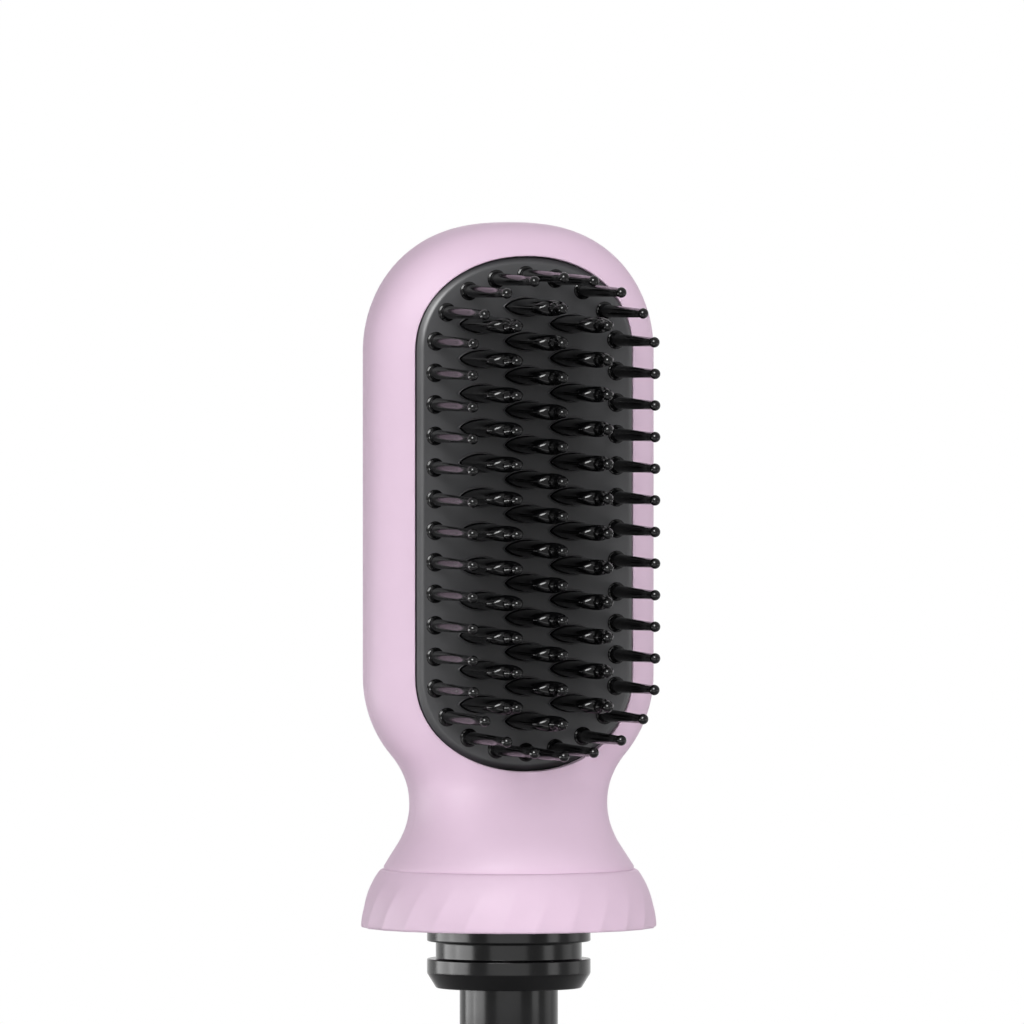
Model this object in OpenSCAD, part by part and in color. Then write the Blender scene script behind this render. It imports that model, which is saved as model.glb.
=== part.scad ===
// Hot brush head of a hair multi-styler: an oval head with a comb of heated fins, on a plug with a lock ring.
// The stem's axis is Z, its lower end is z = 0, and the bristles point along -Y.

/* [Stem and plug] */
// Diameter of the stem tube
stem_d = 21.4; // [19:0.1:23]
// Length of the stem below the plug
stem_len = 25; // [18:0.5:40]
// Wall of the stem tube
stem_wall = 1.5; // [1:0.1:2]
// Diameter of the plug's two rings
plug_d = 35.6; // [34:0.1:37]
// Diameter of the groove between the rings
groove_d = 31.8; // [30:0.1:33]
// Diameter at the plug's lower face
plug_tip_d = 31.6; // [28:0.1:33]
// Height of the lead-in chamfer
chamfer_h = 3.2; // [1.5:0.1:5]
// Height of the lower ring
lower_ring_h = 3.2; // [2.5:0.1:5]
// Height of the groove
groove_h = 3.8; // [2.5:0.1:5]
// Height of the upper ring, up to the shoulder
upper_ring_h = 10.2; // [9:0.1:14]
// Diameter of the hub that the lock ring turns on
hub_d = 46.6; // [45.6:0.1:47]
// Height of the hub
hub_h = 5.6; // [5.6:0.1:7]

/* [Lock ring] */
// Diameter of the lock ring at its rim
ring_d = 64.4; // [62:0.1:68]
// Diameter of the lock ring at its top edge
ring_top_d = 55.8; // [55.4:0.1:58]
// Height of the lock ring
ring_h = 12.5; // [11.5:0.1:15]
// Wall of the lock ring
ring_wall = 2.2; // [1.6:0.1:2.6]
// Thickness of the web that turns on the hub
web_t = 2.6; // [2.2:0.1:2.8]
// Number of finger flutes
flute_count = 26; // [18:1:32]
// Depth of a flute at the rim
flute_depth = 0.5; // [0.2:0.05:0.8]
// Height over which a flute fades out
flute_h = 10; // [6:0.5:11]
// Lean of the flutes, degrees over the ring's height
flute_lean = 10; // [0:1:20]
// Turn from locked to free, degrees
lock_turn = 30; // [15:1:45]
// Number of bayonet lugs inside the skirt
lug_count = 3; // [2:1:4]
// Inner diameter over the lugs
lug_d = 54; // [53:0.1:56]

/* [Head shell] */
// Diameter of the shell's foot above the lock ring
foot_d = 54.4; // [53.6:0.1:55]
// Height of the foot's upright edge
foot_edge_h = 0.6; // [0.3:0.1:1]
// Width of the neck
neck_w = 43.1; // [42:0.1:46]
// Depth of the neck in front of the axis
neck_front = 10.8; // [10.5:0.1:12]
// Depth of the neck behind the axis
neck_back = 14.2; // [12:0.1:16]
// Radius of the waist towards the foot
low_waist_r = 13.7; // [11:0.1:15]
// Radius of the waist towards the head
high_waist_r = 17.5; // [14:0.1:20]
// Height of the waist above the foot
neck_h = 13; // [12:0.1:15]
// Height of the shoulder's end above the waist
shoulder_h = 28.9; // [27:0.1:33]
// Width of the head
head_w = 65.4; // [64.6:0.1:68]
// Depth of the head in front of the axis
head_front = 13.9; // [13.4:0.1:14.5]
// Depth of the head behind the axis
head_back = 16.2; // [15:0.1:20]
// Height of the straight part of the head
straight_h = 70.8; // [70:0.1:80]
// Height of the domed top
dome_h = 27.9; // [27:0.1:31]
// Wall of the shell
shell_wall = 2.2; // [1.8:0.1:2.4]

/* [Bristle plate] */
// Width of the bristle plate
plate_w = 49.6; // [48:0.1:50]
// Length of the bristle plate
plate_l = 111.4; // [109:0.1:112]
// Height of the plate's middle over the middle of the head's straight part
plate_up = 0.2; // [-0.5:0.1:0.5]
// Height of each rounded end
plate_end = 20.4; // [18:0.1:24]
// Distance from the axis to the plate's rim
plate_rim_y = 10.3; // [10:0.1:10.8]
// Rise of the plate's face over its rim
plate_crown = 0.9; // [0.5:0.1:1.5]
// Thickness of the plate
plate_t = 2.2; // [1.8:0.1:2.6]
// Width of the flange behind the shell's edge
flange_w = 1.6; // [1.2:0.1:1.8]
// Thickness of the flange
flange_t = 1.5; // [1.2:0.1:1.8]

/* [Edge bristles] */
// Number of bristles round the edge
bristle_count = 38; // [30:2:42]
// Distance from the plate's edge to the row
bristle_inset = 3.9; // [3.6:0.1:4.2]
// Length above the plate's face
bristle_len = 25.8; // [16:0.1:28]
// Diameter of the bristle's foot
bristle_foot_d = 4.1; // [3.4:0.1:4.6]
// Diameter of the shaft at the foot
bristle_d = 2.8; // [2.4:0.1:3]
// Diameter of the shaft under the ball
bristle_tip_d = 1.9; // [1.5:0.1:2.1]
// Diameter of the ball
ball_d = 2.35; // [2.2:0.05:2.8]

/* [Heated fins] */
// Distance between the columns of fins
column_step = 10.4; // [10.3:0.05:10.6]
// Distance between the fins of a column
row_step = 7.5; // [7.3:0.05:7.6]
// Number of fins in the middle column
row_count = 13; // [9:2:13]
// Width of a fin at its base
fin_w = 9.7; // [8.5:0.1:9.8]
// Width of a fin at its top
fin_top_w = 8; // [6:0.1:9]
// Thickness of a fin
fin_t = 3.5; // [2.4:0.1:3.6]
// Height of a fin above the plate's face
fin_h = 18.2; // [12:0.1:20]
// Gap between a fin and its window
window_gap = 0.35; // [0.2:0.05:0.4]
// Width of the lip round a window
lip_w = 0.7; // [0.4:0.05:0.75]
// Height of the lip round a window
lip_h = 0.8; // [0.3:0.1:1.2]
// Height of a fin's ball tip above the plate's face
tip_h = 24.8; // [19:0.1:27]

/* [Heating stack] */
// Thickness of the comb's base
comb_t = 2; // [1.6:0.1:2.4]
// Air gap between the plate and the comb's base
comb_gap = 3.4; // [3:0.1:3.6]
// Inset of the comb's base from the plate's edge
comb_inset = 4.4; // [4.2:0.1:5]
// Width of the heating cells
cell_w = 15; // [12:0.5:16]
// Length of a heating cell
cell_l = 28; // [20:1:30]
// Thickness of the heating cells
cell_t = 2.2; // [1.8:0.1:2.4]
// Number of heating cells
cell_count = 3; // [2:1:3]
// Thickness of an electrode strip
electrode_t = 0.3; // [0.2:0.05:0.4]
// Thickness of an insulating sheet
sheet_t = 0.3; // [0.2:0.05:0.4]
// Thickness of the clamp plate
clamp_t = 1.2; // [1:0.1:1.6]

/* [Fits] */
// Gap between parts that turn on each other
run_gap = 0.3; // [0.25:0.05:0.35]
// Gap round parts that are fixed in each other
fit_gap = 0.1; // [0.08:0.01:0.15]
// Gap round the plate in the shell's opening
seat_gap = 0.25; // [0.15:0.05:0.35]

/* [Hidden] */
$fn = 48;

// Heights along the stem's axis
plug_z = stem_len;
lower_ring_z = plug_z + chamfer_h;
groove_z = lower_ring_z + lower_ring_h;
upper_ring_z = groove_z + groove_h;
hub_z = upper_ring_z + upper_ring_h;
foot_z = hub_z + hub_h;
ring_top_z = foot_z - run_gap;
ring_z = ring_top_z - ring_h;
neck_z = foot_z + neck_h;
shoulder_z = neck_z + shoulder_h;
dome_z = shoulder_z + straight_h;
plate_z = shoulder_z + straight_h / 2 + plate_up;

// Depths, measured towards the bristles
plate_face_y = plate_rim_y + plate_crown;
flange_drop = 2.3;
flange_y = plate_rim_y - flange_drop;
flange_back_y = flange_y - flange_t;
plate_back_y = plate_face_y - plate_t;
comb_y = plate_back_y - comb_gap;
comb_back_y = comb_y - comb_t;
front_electrode_y = comb_back_y - sheet_t;
cell_y = front_electrode_y - electrode_t;
back_electrode_y = cell_y - cell_t;
back_sheet_y = back_electrode_y - electrode_t;
clamp_y = back_sheet_y - sheet_t;
clamp_back_y = clamp_y - clamp_t;

// Corner powers of the shell's section, and of the dome's width, rise and depth
head_power = 2.4;
foot_power = 2;
dome_width_power = 2.45;
dome_rise_power = 1.95;
dome_depth_power = 3;
neck_blend_h = neck_h + 7;
section_steps = 20;
foot_rings = 9;
waist_rings = 9;
dome_rings = 11;
dome_share = 0.983;

// Overshoot of cuts
over = 1;

// A signed power, for the superellipse sections
function spow(v, p) = sign(v) * pow(abs(v), p);
function mix(a, b, s) = a + (b - a) * s;
function smooth(s) = let (c = min(max(s, 0), 1)) c * c * (3 - 2 * c);

// Half width of the shell: a straight flare, the waist's arc, the shoulder's arc, then straight
half_neck = neck_w / 2;
half_head = head_w / 2;
foot_run = half_neck + low_waist_r - foot_d / 2;
flare_h = neck_h - foot_edge_h;
flare_reach = sqrt(foot_run * foot_run + flare_h * flare_h);
flare_angle = asin(low_waist_r / flare_reach) - atan2(foot_run, flare_h);
flare_z = neck_z - low_waist_r * sin(flare_angle);
shoulder_sum = (pow(half_head - half_neck, 2) + shoulder_h * shoulder_h) / (2 * (half_head - half_neck));
shoulder_r = shoulder_sum - high_waist_r;
shoulder_join_z = neck_z + shoulder_h * high_waist_r / shoulder_sum;

function waist(z, r) = r - sqrt(r * r - pow(z - neck_z, 2));
function half_width(z) =
  z < flare_z ? foot_d / 2 - max(z - foot_z - foot_edge_h, 0) * tan(flare_angle) :
  z < neck_z ? half_neck + waist(z, low_waist_r) :
  z < shoulder_join_z ? half_neck + waist(z, high_waist_r) :
  z < shoulder_z ? half_head - shoulder_r + sqrt(shoulder_r * shoulder_r - pow(z - shoulder_z, 2)) :
  half_head;

// Depth of the shell on one side, from the round foot through the neck to the head
function half_depth(z, neck, head) =
  z < foot_z + neck_blend_h ? mix(foot_d / 2, neck, smooth((z - foot_z) / neck_blend_h)) :
  mix(neck, head, smooth((z - foot_z - neck_blend_h) / (shoulder_z - foot_z - neck_blend_h)));

function section_power(z) = mix(foot_power, head_power, smooth((z - foot_z) / neck_blend_h));

// Rings of the shell as [z, half width, front depth, back depth], for the skin that lies in by inset
function side_ring(z, inset) = [
  z, half_width(z) - inset,
  half_depth(z, neck_front, head_front) - inset, half_depth(z, neck_back, head_back) - inset
];
function dome_ring(angle, inset) =
  let (
    t = pow(sin(angle), 2 / dome_rise_power),
    width = pow(cos(angle), 2 / dome_width_power),
    depth = pow(1 - pow(t, dome_depth_power), 1 / dome_depth_power)
  )
  [dome_z + (dome_h - inset) * t, (half_head - inset) * width, (head_front - inset) * depth,
   (head_back - inset) * depth];
function shell_rings(inset) = concat(
  [side_ring(foot_z, inset)],
  [for (i = [0:foot_rings - 1]) side_ring(mix(foot_z + foot_edge_h, neck_z, i / foot_rings), inset)],
  [for (i = [0:waist_rings - 1]) side_ring(mix(neck_z, shoulder_z, i / waist_rings), inset)],
  [for (i = [0:dome_rings]) dome_ring(90 * min(dome_share, 1) * i / dome_rings, inset)]
);

// Half a section, anticlockwise seen from above: side -1 is the front half, 1 the back half
function half_section(ring, side) =
  let (depth = side < 0 ? ring[2] : ring[3], power = section_power(ring[0]))
  [for (i = [0:section_steps]) let (a = 180 * i / section_steps) [
    -side * -ring[1] * spow(cos(a), 2 / power), side * depth * pow(sin(a), 2 / power), ring[0]
  ]];

// Half of the hollow shell, as one closed skin: outer skin, inner skin and the seam between them
module half_shell(side) {
  outer = shell_rings(0);
  inner = shell_rings(shell_wall);
  last = len(outer) - 1;
  m = section_steps;
  k = 2 * (m + 1);
  points = [for (j = [0:last])
    let (o = half_section(outer[j], side), i = half_section(inner[j], side))
    for (n = [0:k - 1]) n <= m ? o[n] : i[k - 1 - n]];
  walls = [for (j = [0:last - 1], n = [0:k - 1]) let (q = (n + 1) % k)
    each [[j * k + n, (j + 1) * k + n, (j + 1) * k + q], [j * k + n, (j + 1) * k + q, j * k + q]]];
  foot = [for (n = [0:m - 1]) [n, n + 1, k - 2 - n, k - 1 - n]];
  top = last * k;
  crown = [for (n = [0:m]) top + m - n];
  roof = [for (n = [0:m]) top + k - 1 - n];
  seam = [top + m, top, top + k - 1, top + m + 1];
  polyhedron(points, concat(walls, foot, [crown, roof, seam]));
}

// The bristle plate's outline, with its ends rounded, as points that lie in by inset
plate_power = 2.1;
outline_steps = 14;
end_angle = 0.01;
function end_point(a, inset) = [
  (plate_w / 2 - inset) * spow(cos(a), 2 / plate_power),
  spow(sin(a), 2 / plate_power) * (plate_end - inset) + sign(sin(a)) * (plate_l / 2 - plate_end)
];
function plate_outline(inset) = concat(
  [for (i = [0:outline_steps]) end_point(max(180 * i / outline_steps, end_angle), inset)],
  [for (i = [0:outline_steps]) end_point(min(180 + 180 * i / outline_steps, 360 - end_angle), inset)]
);

// Puts a drawing of the plate's front at a depth and draws it out towards the bristles
module towards_front(y, height) {
  translate([0, -y, plate_z]) rotate([90, 0, 0]) linear_extrude(height) children();
}

// Places children on the plate at [x, z], with their own Z pointing out of it from depth y
module on_plate(at, y) {
  translate([at[0], -y, plate_z + at[1]]) rotate([90, 0, 0]) children();
}

// Places of the edge bristles: equal steps along a loop that lies in from the plate's edge
loop_steps = 60;
function loop_point(u) = let (
    a = 90 - 90 * u,
    width = plate_w / 2 - bristle_inset,
    rise = plate_end - bristle_inset
  )
  [width * pow(cos(a), 2 / plate_power), plate_l / 2 - plate_end + rise * pow(sin(a), 2 / plate_power)];
loop_quarter = concat(
  [for (i = [0:loop_steps]) loop_point(i / loop_steps)], [[plate_w / 2 - bristle_inset, 0]]
);
function steps(p) = [for (i = [1:len(p) - 1]) norm(p[i] - p[i - 1])];
function running(v) = [for (i = 0, s = 0; i <= len(v); s = s + (i < len(v) ? v[i] : 0), i = i + 1) s];
loop_s = running(steps(loop_quarter));
quarter_len = loop_s[len(loop_s) - 1];
table_x = [for (i = [0:len(loop_s) - 1]) [loop_s[i], loop_quarter[i][0]]];
table_z = [for (i = [0:len(loop_s) - 1]) [loop_s[i], loop_quarter[i][1]]];
function quarter_at(s) = [lookup(s, table_x), lookup(s, table_z)];
function loop_at(k) = let (
    turn = 4 * k / bristle_count,
    quarter = floor(turn),
    part = turn - quarter,
    s = (quarter % 2 == 0 ? part : 1 - part) * quarter_len,
    p = quarter_at(s)
  )
  [(quarter < 2 ? 1 : -1) * p[0], (quarter == 0 || quarter == 3 ? 1 : -1) * p[1]];
bristle_places = [for (k = [0:bristle_count - 1]) loop_at(k)];

// Places of the fins: the outer columns stand half a step off the middle one
fin_places = concat(
  [for (i = [0:row_count - 1]) [0, (i - (row_count - 1) / 2) * row_step]],
  [for (side = [-1, 1], i = [0:row_count - 2]) [side * column_step, (i - (row_count - 2) / 2) * row_step]]
);

// Places of the screws: bosses between the fin columns for the stack, ears at the plate's ends
boss_inset = 6.9;
boss_rows = 4.6;
boss_x = plate_w / 2 - boss_inset;
boss_z = boss_rows * row_step;
clamp_places = [for (x = [-boss_x, boss_x], z = [-boss_z, 0, boss_z]) [x, z]];
ear_inset_x = 3.8;
ear_inset_z = 5.6;
ear_x = plate_w / 2 - ear_inset_x;
ear_z = plate_l / 2 - ear_inset_z;
ear_places = [for (x = [-ear_x, ear_x], z = [-ear_z, ear_z]) [x, z]];
ear_drop = 2;
ear_y = flange_back_y - ear_drop;
ear_r = 2.2;
ear_t = 1.5;
pilot_depth = 1.9;
screw_r = 1;
screw_head_r = 1.7;
screw_head_h = 1.3;
plug_screw_r = 20;
plug_screw_head_h = 1.6;
foot_web_t = 3;
foot_web_r = 14;
foot_web_inset = 1.9;
stop_pin_r = 0.9;
stop_pin_at = 24.8;
stop_pin_drop = 1.7;
stop_pin_up = 2;

// A flat oval: two wide arcs, with its sharp ends cut round
oval_point = 1.2;
module oval(length, width) {
  long = length + oval_point;
  r = (long * long + width * width) / (4 * width);
  intersection() {
    circle(length / 2);
    translate([0, r - width / 2]) circle(r);
    translate([0, width / 2 - r]) circle(r);
  }
}

// A tube section turned about Z
module washer(r_in, r_out, h) {
  difference() {
    cylinder(h = h, r = r_out);
    translate([0, 0, -over]) cylinder(h = h + 2 * over, r = r_in);
  }
}

// Opening of the front shell: narrow at its outside, wider behind for the plate's flange
rebate_h = 6;
module plate_hole() {
  towards_front(flange_y - over, rebate_h + over) polygon(plate_outline(-seat_gap));
  towards_front(flange_y - rebate_h, rebate_h) polygon(plate_outline(-flange_w - seat_gap));
}

// Inner flange of the shell's foot on one side of the seam, with the holes of the plug's screws
module foot_web(side) {
  web_out = foot_d / 2 - foot_web_inset;
  difference() {
    rotate([0, 0, side < 0 ? 180 : 0]) rotate_extrude(angle = 180)
      translate([foot_web_r, foot_z]) square([web_out - foot_web_r, foot_web_t]);
    plug_screw_places() translate([0, 0, foot_z - over])
      cylinder(h = foot_web_t + 2 * over, r = screw_r);
  }
}

module stop_pin_hole(side) {
  translate([0, side * stop_pin_at, foot_z - over])
    cylinder(h = foot_web_t + 2 * over, r = stop_pin_r + fit_gap / 2);
}

module plug_screw_places() {
  for (i = [0:3]) rotate([0, 0, 45 + 90 * i]) translate([plug_screw_r, 0, 0]) children();
}

// Catches inside the front shell's edge that reach behind the rear shell's edge
catch_l = 9;
catch_t = 1;
catch_reach = 2.2;
catch_root = 4.4;
catch_gap = 0.5;
catch_heights = [0.12, 0.5, 0.88];
module catches() {
  for (x = [-1, 1], u = catch_heights) translate([
    x * (half_head - shell_wall - catch_t / 2 - catch_gap), (catch_reach - catch_root) / 2,
    mix(shoulder_z, dome_z, u)
  ]) cube([catch_t, catch_reach + catch_root, catch_l], center = true);
}

// Bosses of the plate's screws, which end within the front wall wherever that wall is
function skin_y(x, z, inset) = let (
    rise = min(max(z - dome_z, 0) / (dome_h - inset), 1),
    width = (half_width(z) - inset) * pow(1 - pow(rise, dome_rise_power), 1 / dome_width_power),
    depth = side_ring(z, inset)[2] * pow(1 - pow(rise, dome_depth_power), 1 / dome_depth_power),
    power = section_power(z)
  )
  depth * pow(1 - pow(min(abs(x) / width, 1), power), 1 / power);
module ear_bosses() {
  for (p = ear_places) on_plate(p, ear_y)
    cylinder(h = skin_y(ear_x + ear_r, plate_z + p[1], shell_wall / 2) - ear_y, r = ear_r);
}

module front_shell() {
  color("#e3c9dc") difference() {
    union() {
      half_shell(-1);
      foot_web(-1);
      ear_bosses();
      catches();
    }
    plate_hole();
    for (p = ear_places) on_plate(p, ear_y - over) cylinder(h = over + pilot_depth + fit_gap, r = screw_r);
    stop_pin_hole(-1);
  }
}

module rear_shell() {
  color("#e3c9dc") difference() {
    union() {
      half_shell(1);
      foot_web(1);
    }
    stop_pin_hole(1);
  }
}

// Outer radius of the lock ring: one arc from the rim, upright there, to the top edge
ring_drop = (ring_d - ring_top_d) / 2;
ring_arc = (ring_h * ring_h + ring_drop * ring_drop) / (2 * ring_drop);
function ring_radius(z) = ring_d / 2 - ring_arc + sqrt(ring_arc * ring_arc - pow(z - ring_z, 2));
rim_round = 0.5;
flute_steps = 4;
flute_phase = -2.5;
ring_steps = 8;
ring_levels = concat(
  [ring_z, ring_z + rim_round], [for (i = [1:ring_steps]) ring_z + ring_h * i / ring_steps]
);
function flute_cut(z, u) =
  4 * u * (1 - u) * flute_depth * (1 - smooth((z - ring_z) / flute_h)) + (z == ring_z ? rim_round : 0);

// The fluted outside of the lock ring, as a solid
module fluted_bell() {
  k = flute_count * flute_steps;
  last = len(ring_levels) - 1;
  points = concat([for (z = ring_levels, n = [0:k - 1]) let (
      a = 360 * n / k + flute_phase + flute_lean * (z - ring_z) / ring_h,
      r = ring_radius(z) - flute_cut(z, (n % flute_steps) / flute_steps)
    )
    [r * cos(a), r * sin(a), z]], [[0, 0, ring_z], [0, 0, ring_top_z]]);
  low = (last + 1) * k;
  walls = [for (j = [0:last - 1], n = [0:k - 1]) let (q = (n + 1) % k)
    each [[j * k + n, (j + 1) * k + n, (j + 1) * k + q], [j * k + n, (j + 1) * k + q, j * k + q]]];
  foot = [for (n = [0:k - 1]) [low, n, (n + 1) % k]];
  top = [for (n = [0:k - 1]) [low + 1, last * k + (n + 1) % k, last * k + n]];
  polyhedron(points, concat(walls, foot, top));
}

// The hollow under the lock ring's web
bell_steps = 6;
bell_h = ring_h - web_t;
module bell_hollow() {
  rotate_extrude() polygon(concat(
    [[0, ring_z - over], [ring_radius(ring_z) - ring_wall, ring_z - over]],
    [for (i = [0:bell_steps]) let (z = ring_z + bell_h * i / bell_steps) [ring_radius(z) - ring_wall, z]],
    [[0, ring_z + bell_h]]
  ));
}

// The lock ring: web with the bore and the stop pins' slots, skirt with the bayonet lugs
lug_z = 2.5;
lug_h = 2.4;
lug_angle = 24;
bore_r = hub_d / 2 + run_gap;
slot_r = stop_pin_at + stop_pin_r + run_gap;
slot_slack = asin((stop_pin_r + run_gap) / stop_pin_at);
slot_root = 0.5;
module lock_ring() {
  color("#e1c5d9") {
    difference() {
      fluted_bell();
      bell_hollow();
      translate([0, 0, ring_z]) cylinder(h = ring_h + over, r = bore_r);
      for (side = [0, 180]) rotate([0, 0, 90 + side - lock_turn - slot_slack])
        rotate_extrude(angle = lock_turn + 2 * slot_slack)
        translate([bore_r - slot_root, ring_top_z - web_t - over])
        square([slot_r - bore_r + slot_root, web_t + 2 * over]);
    }
    for (i = [0:lug_count - 1]) rotate([0, 0, 360 * i / lug_count]) rotate_extrude(angle = lug_angle)
      translate([lug_d / 2, ring_z + lug_z])
      square([ring_radius(ring_z + lug_z + lug_h) - ring_wall / 2 - lug_d / 2, lug_h]);
  }
}

// Snap ring in the hub's groove, the washer above it and the web above that
retainer_t = 1;
retainer_up = 0.6;
retainer_bite = 0.8;
retainer_reach = 2.1;
retainer_mouth = 30;
retainer_z = hub_z + retainer_up;
retainer_in = hub_d / 2 - retainer_bite;
retainer_out = hub_d / 2 + retainer_reach;
module ring_retainer() {
  color("#b9bcc0") translate([0, 0, retainer_z]) rotate([0, 0, retainer_mouth / 2])
    rotate_extrude(angle = 360 - retainer_mouth)
    translate([retainer_in, 0]) square([retainer_out - retainer_in, retainer_t]);
}

washer_t = 0.6;
washer_rim = 0.4;
module wave_washer() {
  color("#a9adb2") translate([0, 0, ring_top_z - web_t - washer_t - fit_gap])
    washer(hub_d / 2 + 2 * fit_gap, retainer_out + washer_rim, washer_t);
}

module stop_pins() {
  color("#c4c7ca") for (side = [-1, 1]) translate([0, side * stop_pin_at, foot_z - stop_pin_drop])
    cylinder(h = stop_pin_drop + stop_pin_up, r = stop_pin_r);
}

// The plug: chamfer, lower ring, groove, upper ring and hub, bored for the stem and the grommet
tube_seat_h = 7;
tube_top_z = foot_z - tube_seat_h;
spigot_step = 0.5;
spigot_r = stem_d / 2 - spigot_step;
grommet_r = 8;
module plug_body() {
  color("#17171a") difference() {
    rotate_extrude() polygon([
      [0, plug_z], [plug_tip_d / 2, plug_z], [plug_d / 2, lower_ring_z], [plug_d / 2, groove_z],
      [groove_d / 2, groove_z], [groove_d / 2, upper_ring_z], [plug_d / 2, upper_ring_z],
      [plug_d / 2, hub_z], [hub_d / 2, hub_z], [hub_d / 2, foot_z], [0, foot_z]
    ]);
    translate([0, 0, plug_z - over]) cylinder(h = tube_top_z - plug_z + over, r = spigot_r + fit_gap / 2);
    translate([0, 0, plug_z]) cylinder(h = foot_z, r = grommet_r);
    translate([0, 0, retainer_z - fit_gap]) washer(retainer_in - fit_gap, hub_d, retainer_t + 2 * fit_gap);
    plug_screw_places() {
      translate([0, 0, hub_z - over]) cylinder(h = hub_h + 2 * over, r = screw_r + fit_gap);
      translate([0, 0, hub_z - over]) cylinder(h = plug_screw_head_h + over, r = screw_head_r + fit_gap);
    }
  }
}

module plug_screws() {
  color("#c4c7ca") plug_screw_places() translate([0, 0, hub_z]) {
    cylinder(h = plug_screw_head_h, r = screw_head_r);
    cylinder(h = hub_h + foot_web_t, r = screw_r - fit_gap / 2);
  }
}

// The tube butts on the plug's lower face, and a thinner spigot of it sits in the plug's bore
module stem_tube() {
  color("#17171a") difference() {
    union() {
      cylinder(h = plug_z, r = stem_d / 2);
      cylinder(h = tube_top_z, r = spigot_r);
    }
    translate([0, 0, -over]) cylinder(h = tube_top_z + 2 * over, r = stem_d / 2 - stem_wall);
  }
}

// Contact block near the stem's lower end, with four pins that stay inside the tube
block_z = 5.5;
block_h = 8;
pin_r = 1.15;
pin_at = 3.4;
pin_low = 1.4;
pin_high = 2.5;
module pin_places() {
  for (x = [-pin_at, pin_at], y = [-pin_at, pin_at]) translate([x, y, 0]) children();
}

module contact_block() {
  color("#2a2a2e") difference() {
    translate([0, 0, block_z]) cylinder(h = block_h, r = stem_d / 2 - stem_wall - fit_gap);
    pin_places() cylinder(h = block_z + block_h + over, r = pin_r + fit_gap / 2);
  }
}

module contact_pins() {
  nose = pin_r / 2;
  color("#c9a24a") pin_places() translate([0, 0, pin_low]) {
    cylinder(h = nose, r1 = nose, r2 = pin_r);
    translate([0, 0, nose]) cylinder(h = block_z + block_h + pin_high - pin_low - nose, r = pin_r);
  }
}

// Grommet in the plug's top bore, with a hole for each lead
lead_r = 0.9;
thin_r = 0.6;
grommet_lip = 1.2;
grommet_brim = 1.6;
module grommet() {
  color("#3a3a3e") difference() {
    translate([0, 0, foot_z - tube_seat_h]) union() {
      cylinder(h = tube_seat_h + grommet_lip, r = grommet_r - fit_gap);
      translate([0, 0, tube_seat_h]) cylinder(h = grommet_lip, r = grommet_r + grommet_brim);
    }
    for (x = [-pin_at, pin_at]) {
      translate([x, pin_at, 0]) cylinder(h = foot_z + grommet_lip + over, r = lead_r + fit_gap);
      translate([x, -pin_at, 0]) cylinder(h = foot_z + grommet_lip + over, r = thin_r + fit_gap);
    }
  }
}

// The bristle plate: a crowned oval with a flange, lipped windows, sockets, bosses and screw ears.
// Its rim rises in steps, each given as inset and share of the crown
rim_steps = [[0, 0], [0.4, 0.5], [1.2, 1]];
rim_root = 0.5;
lip_root = 1;
socket_r = 1.3;
clamp_boss_r = 1.9;
pocket_inset = 2.2;
ear_post_t = 2;
ear_reach = ear_r + fit_gap + ear_post_t;

// A screw ear under the shell's boss, joined to the flange by a post on its inner side
module ear(at) {
  side = sign(at[0]);
  on_plate(at, ear_y - ear_t) cylinder(h = ear_t, r = ear_r);
  on_plate(at, ear_y - ear_t) translate([-ear_reach * max(side, 0), -ear_r, 0])
    cube([ear_reach, 2 * ear_r, ear_t]);
  towards_front(ear_y - ear_t, flange_y - ear_y + ear_t) intersection() {
    polygon(plate_outline(-flange_w));
    translate(at - [side * (ear_reach - ear_post_t / 2), 0]) square([ear_post_t, 2 * ear_r], center = true);
  }
}

module bristle_plate() {
  color("#1b1b1e") difference() {
    union() {
      towards_front(flange_back_y, flange_t) polygon(plate_outline(-flange_w));
      for (s = rim_steps)
        towards_front(flange_y - rim_root, plate_rim_y + s[1] * plate_crown - flange_y + rim_root)
          polygon(plate_outline(s[0]));
      for (p = fin_places) on_plate(p, plate_face_y - lip_root) linear_extrude(lip_h + lip_root)
        oval(fin_w + 2 * (window_gap + lip_w), fin_t + 2 * (window_gap + lip_w));
      for (p = clamp_places) on_plate(p, comb_y) cylinder(h = comb_gap + lip_root, r = clamp_boss_r);
      for (p = ear_places) ear(p);
    }
    towards_front(flange_back_y - over, plate_back_y - flange_back_y + over) difference() {
      polygon(plate_outline(pocket_inset));
      for (p = clamp_places) translate(p) circle(clamp_boss_r);
    }
    for (p = fin_places) on_plate(p, comb_y) linear_extrude(plate_face_y)
      oval(fin_w + 2 * window_gap, fin_t + 2 * window_gap);
    for (p = bristle_places) on_plate(p, comb_y) cylinder(h = plate_face_y, r = socket_r);
    for (p = clamp_places) on_plate(p, comb_y - over) cylinder(h = comb_gap + 2 * over, r = screw_r);
    for (p = ear_places) on_plate(p, ear_y - ear_t - over)
      cylinder(h = ear_t + 2 * over, r = screw_r + fit_gap);
  }
}

module plate_screws() {
  color("#c4c7ca") for (p = ear_places) on_plate(p, ear_y - ear_t - screw_head_h) {
    cylinder(h = screw_head_h, r = screw_head_r);
    cylinder(h = screw_head_h + ear_t + pilot_depth, r = screw_r - fit_gap / 2);
  }
}

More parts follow.
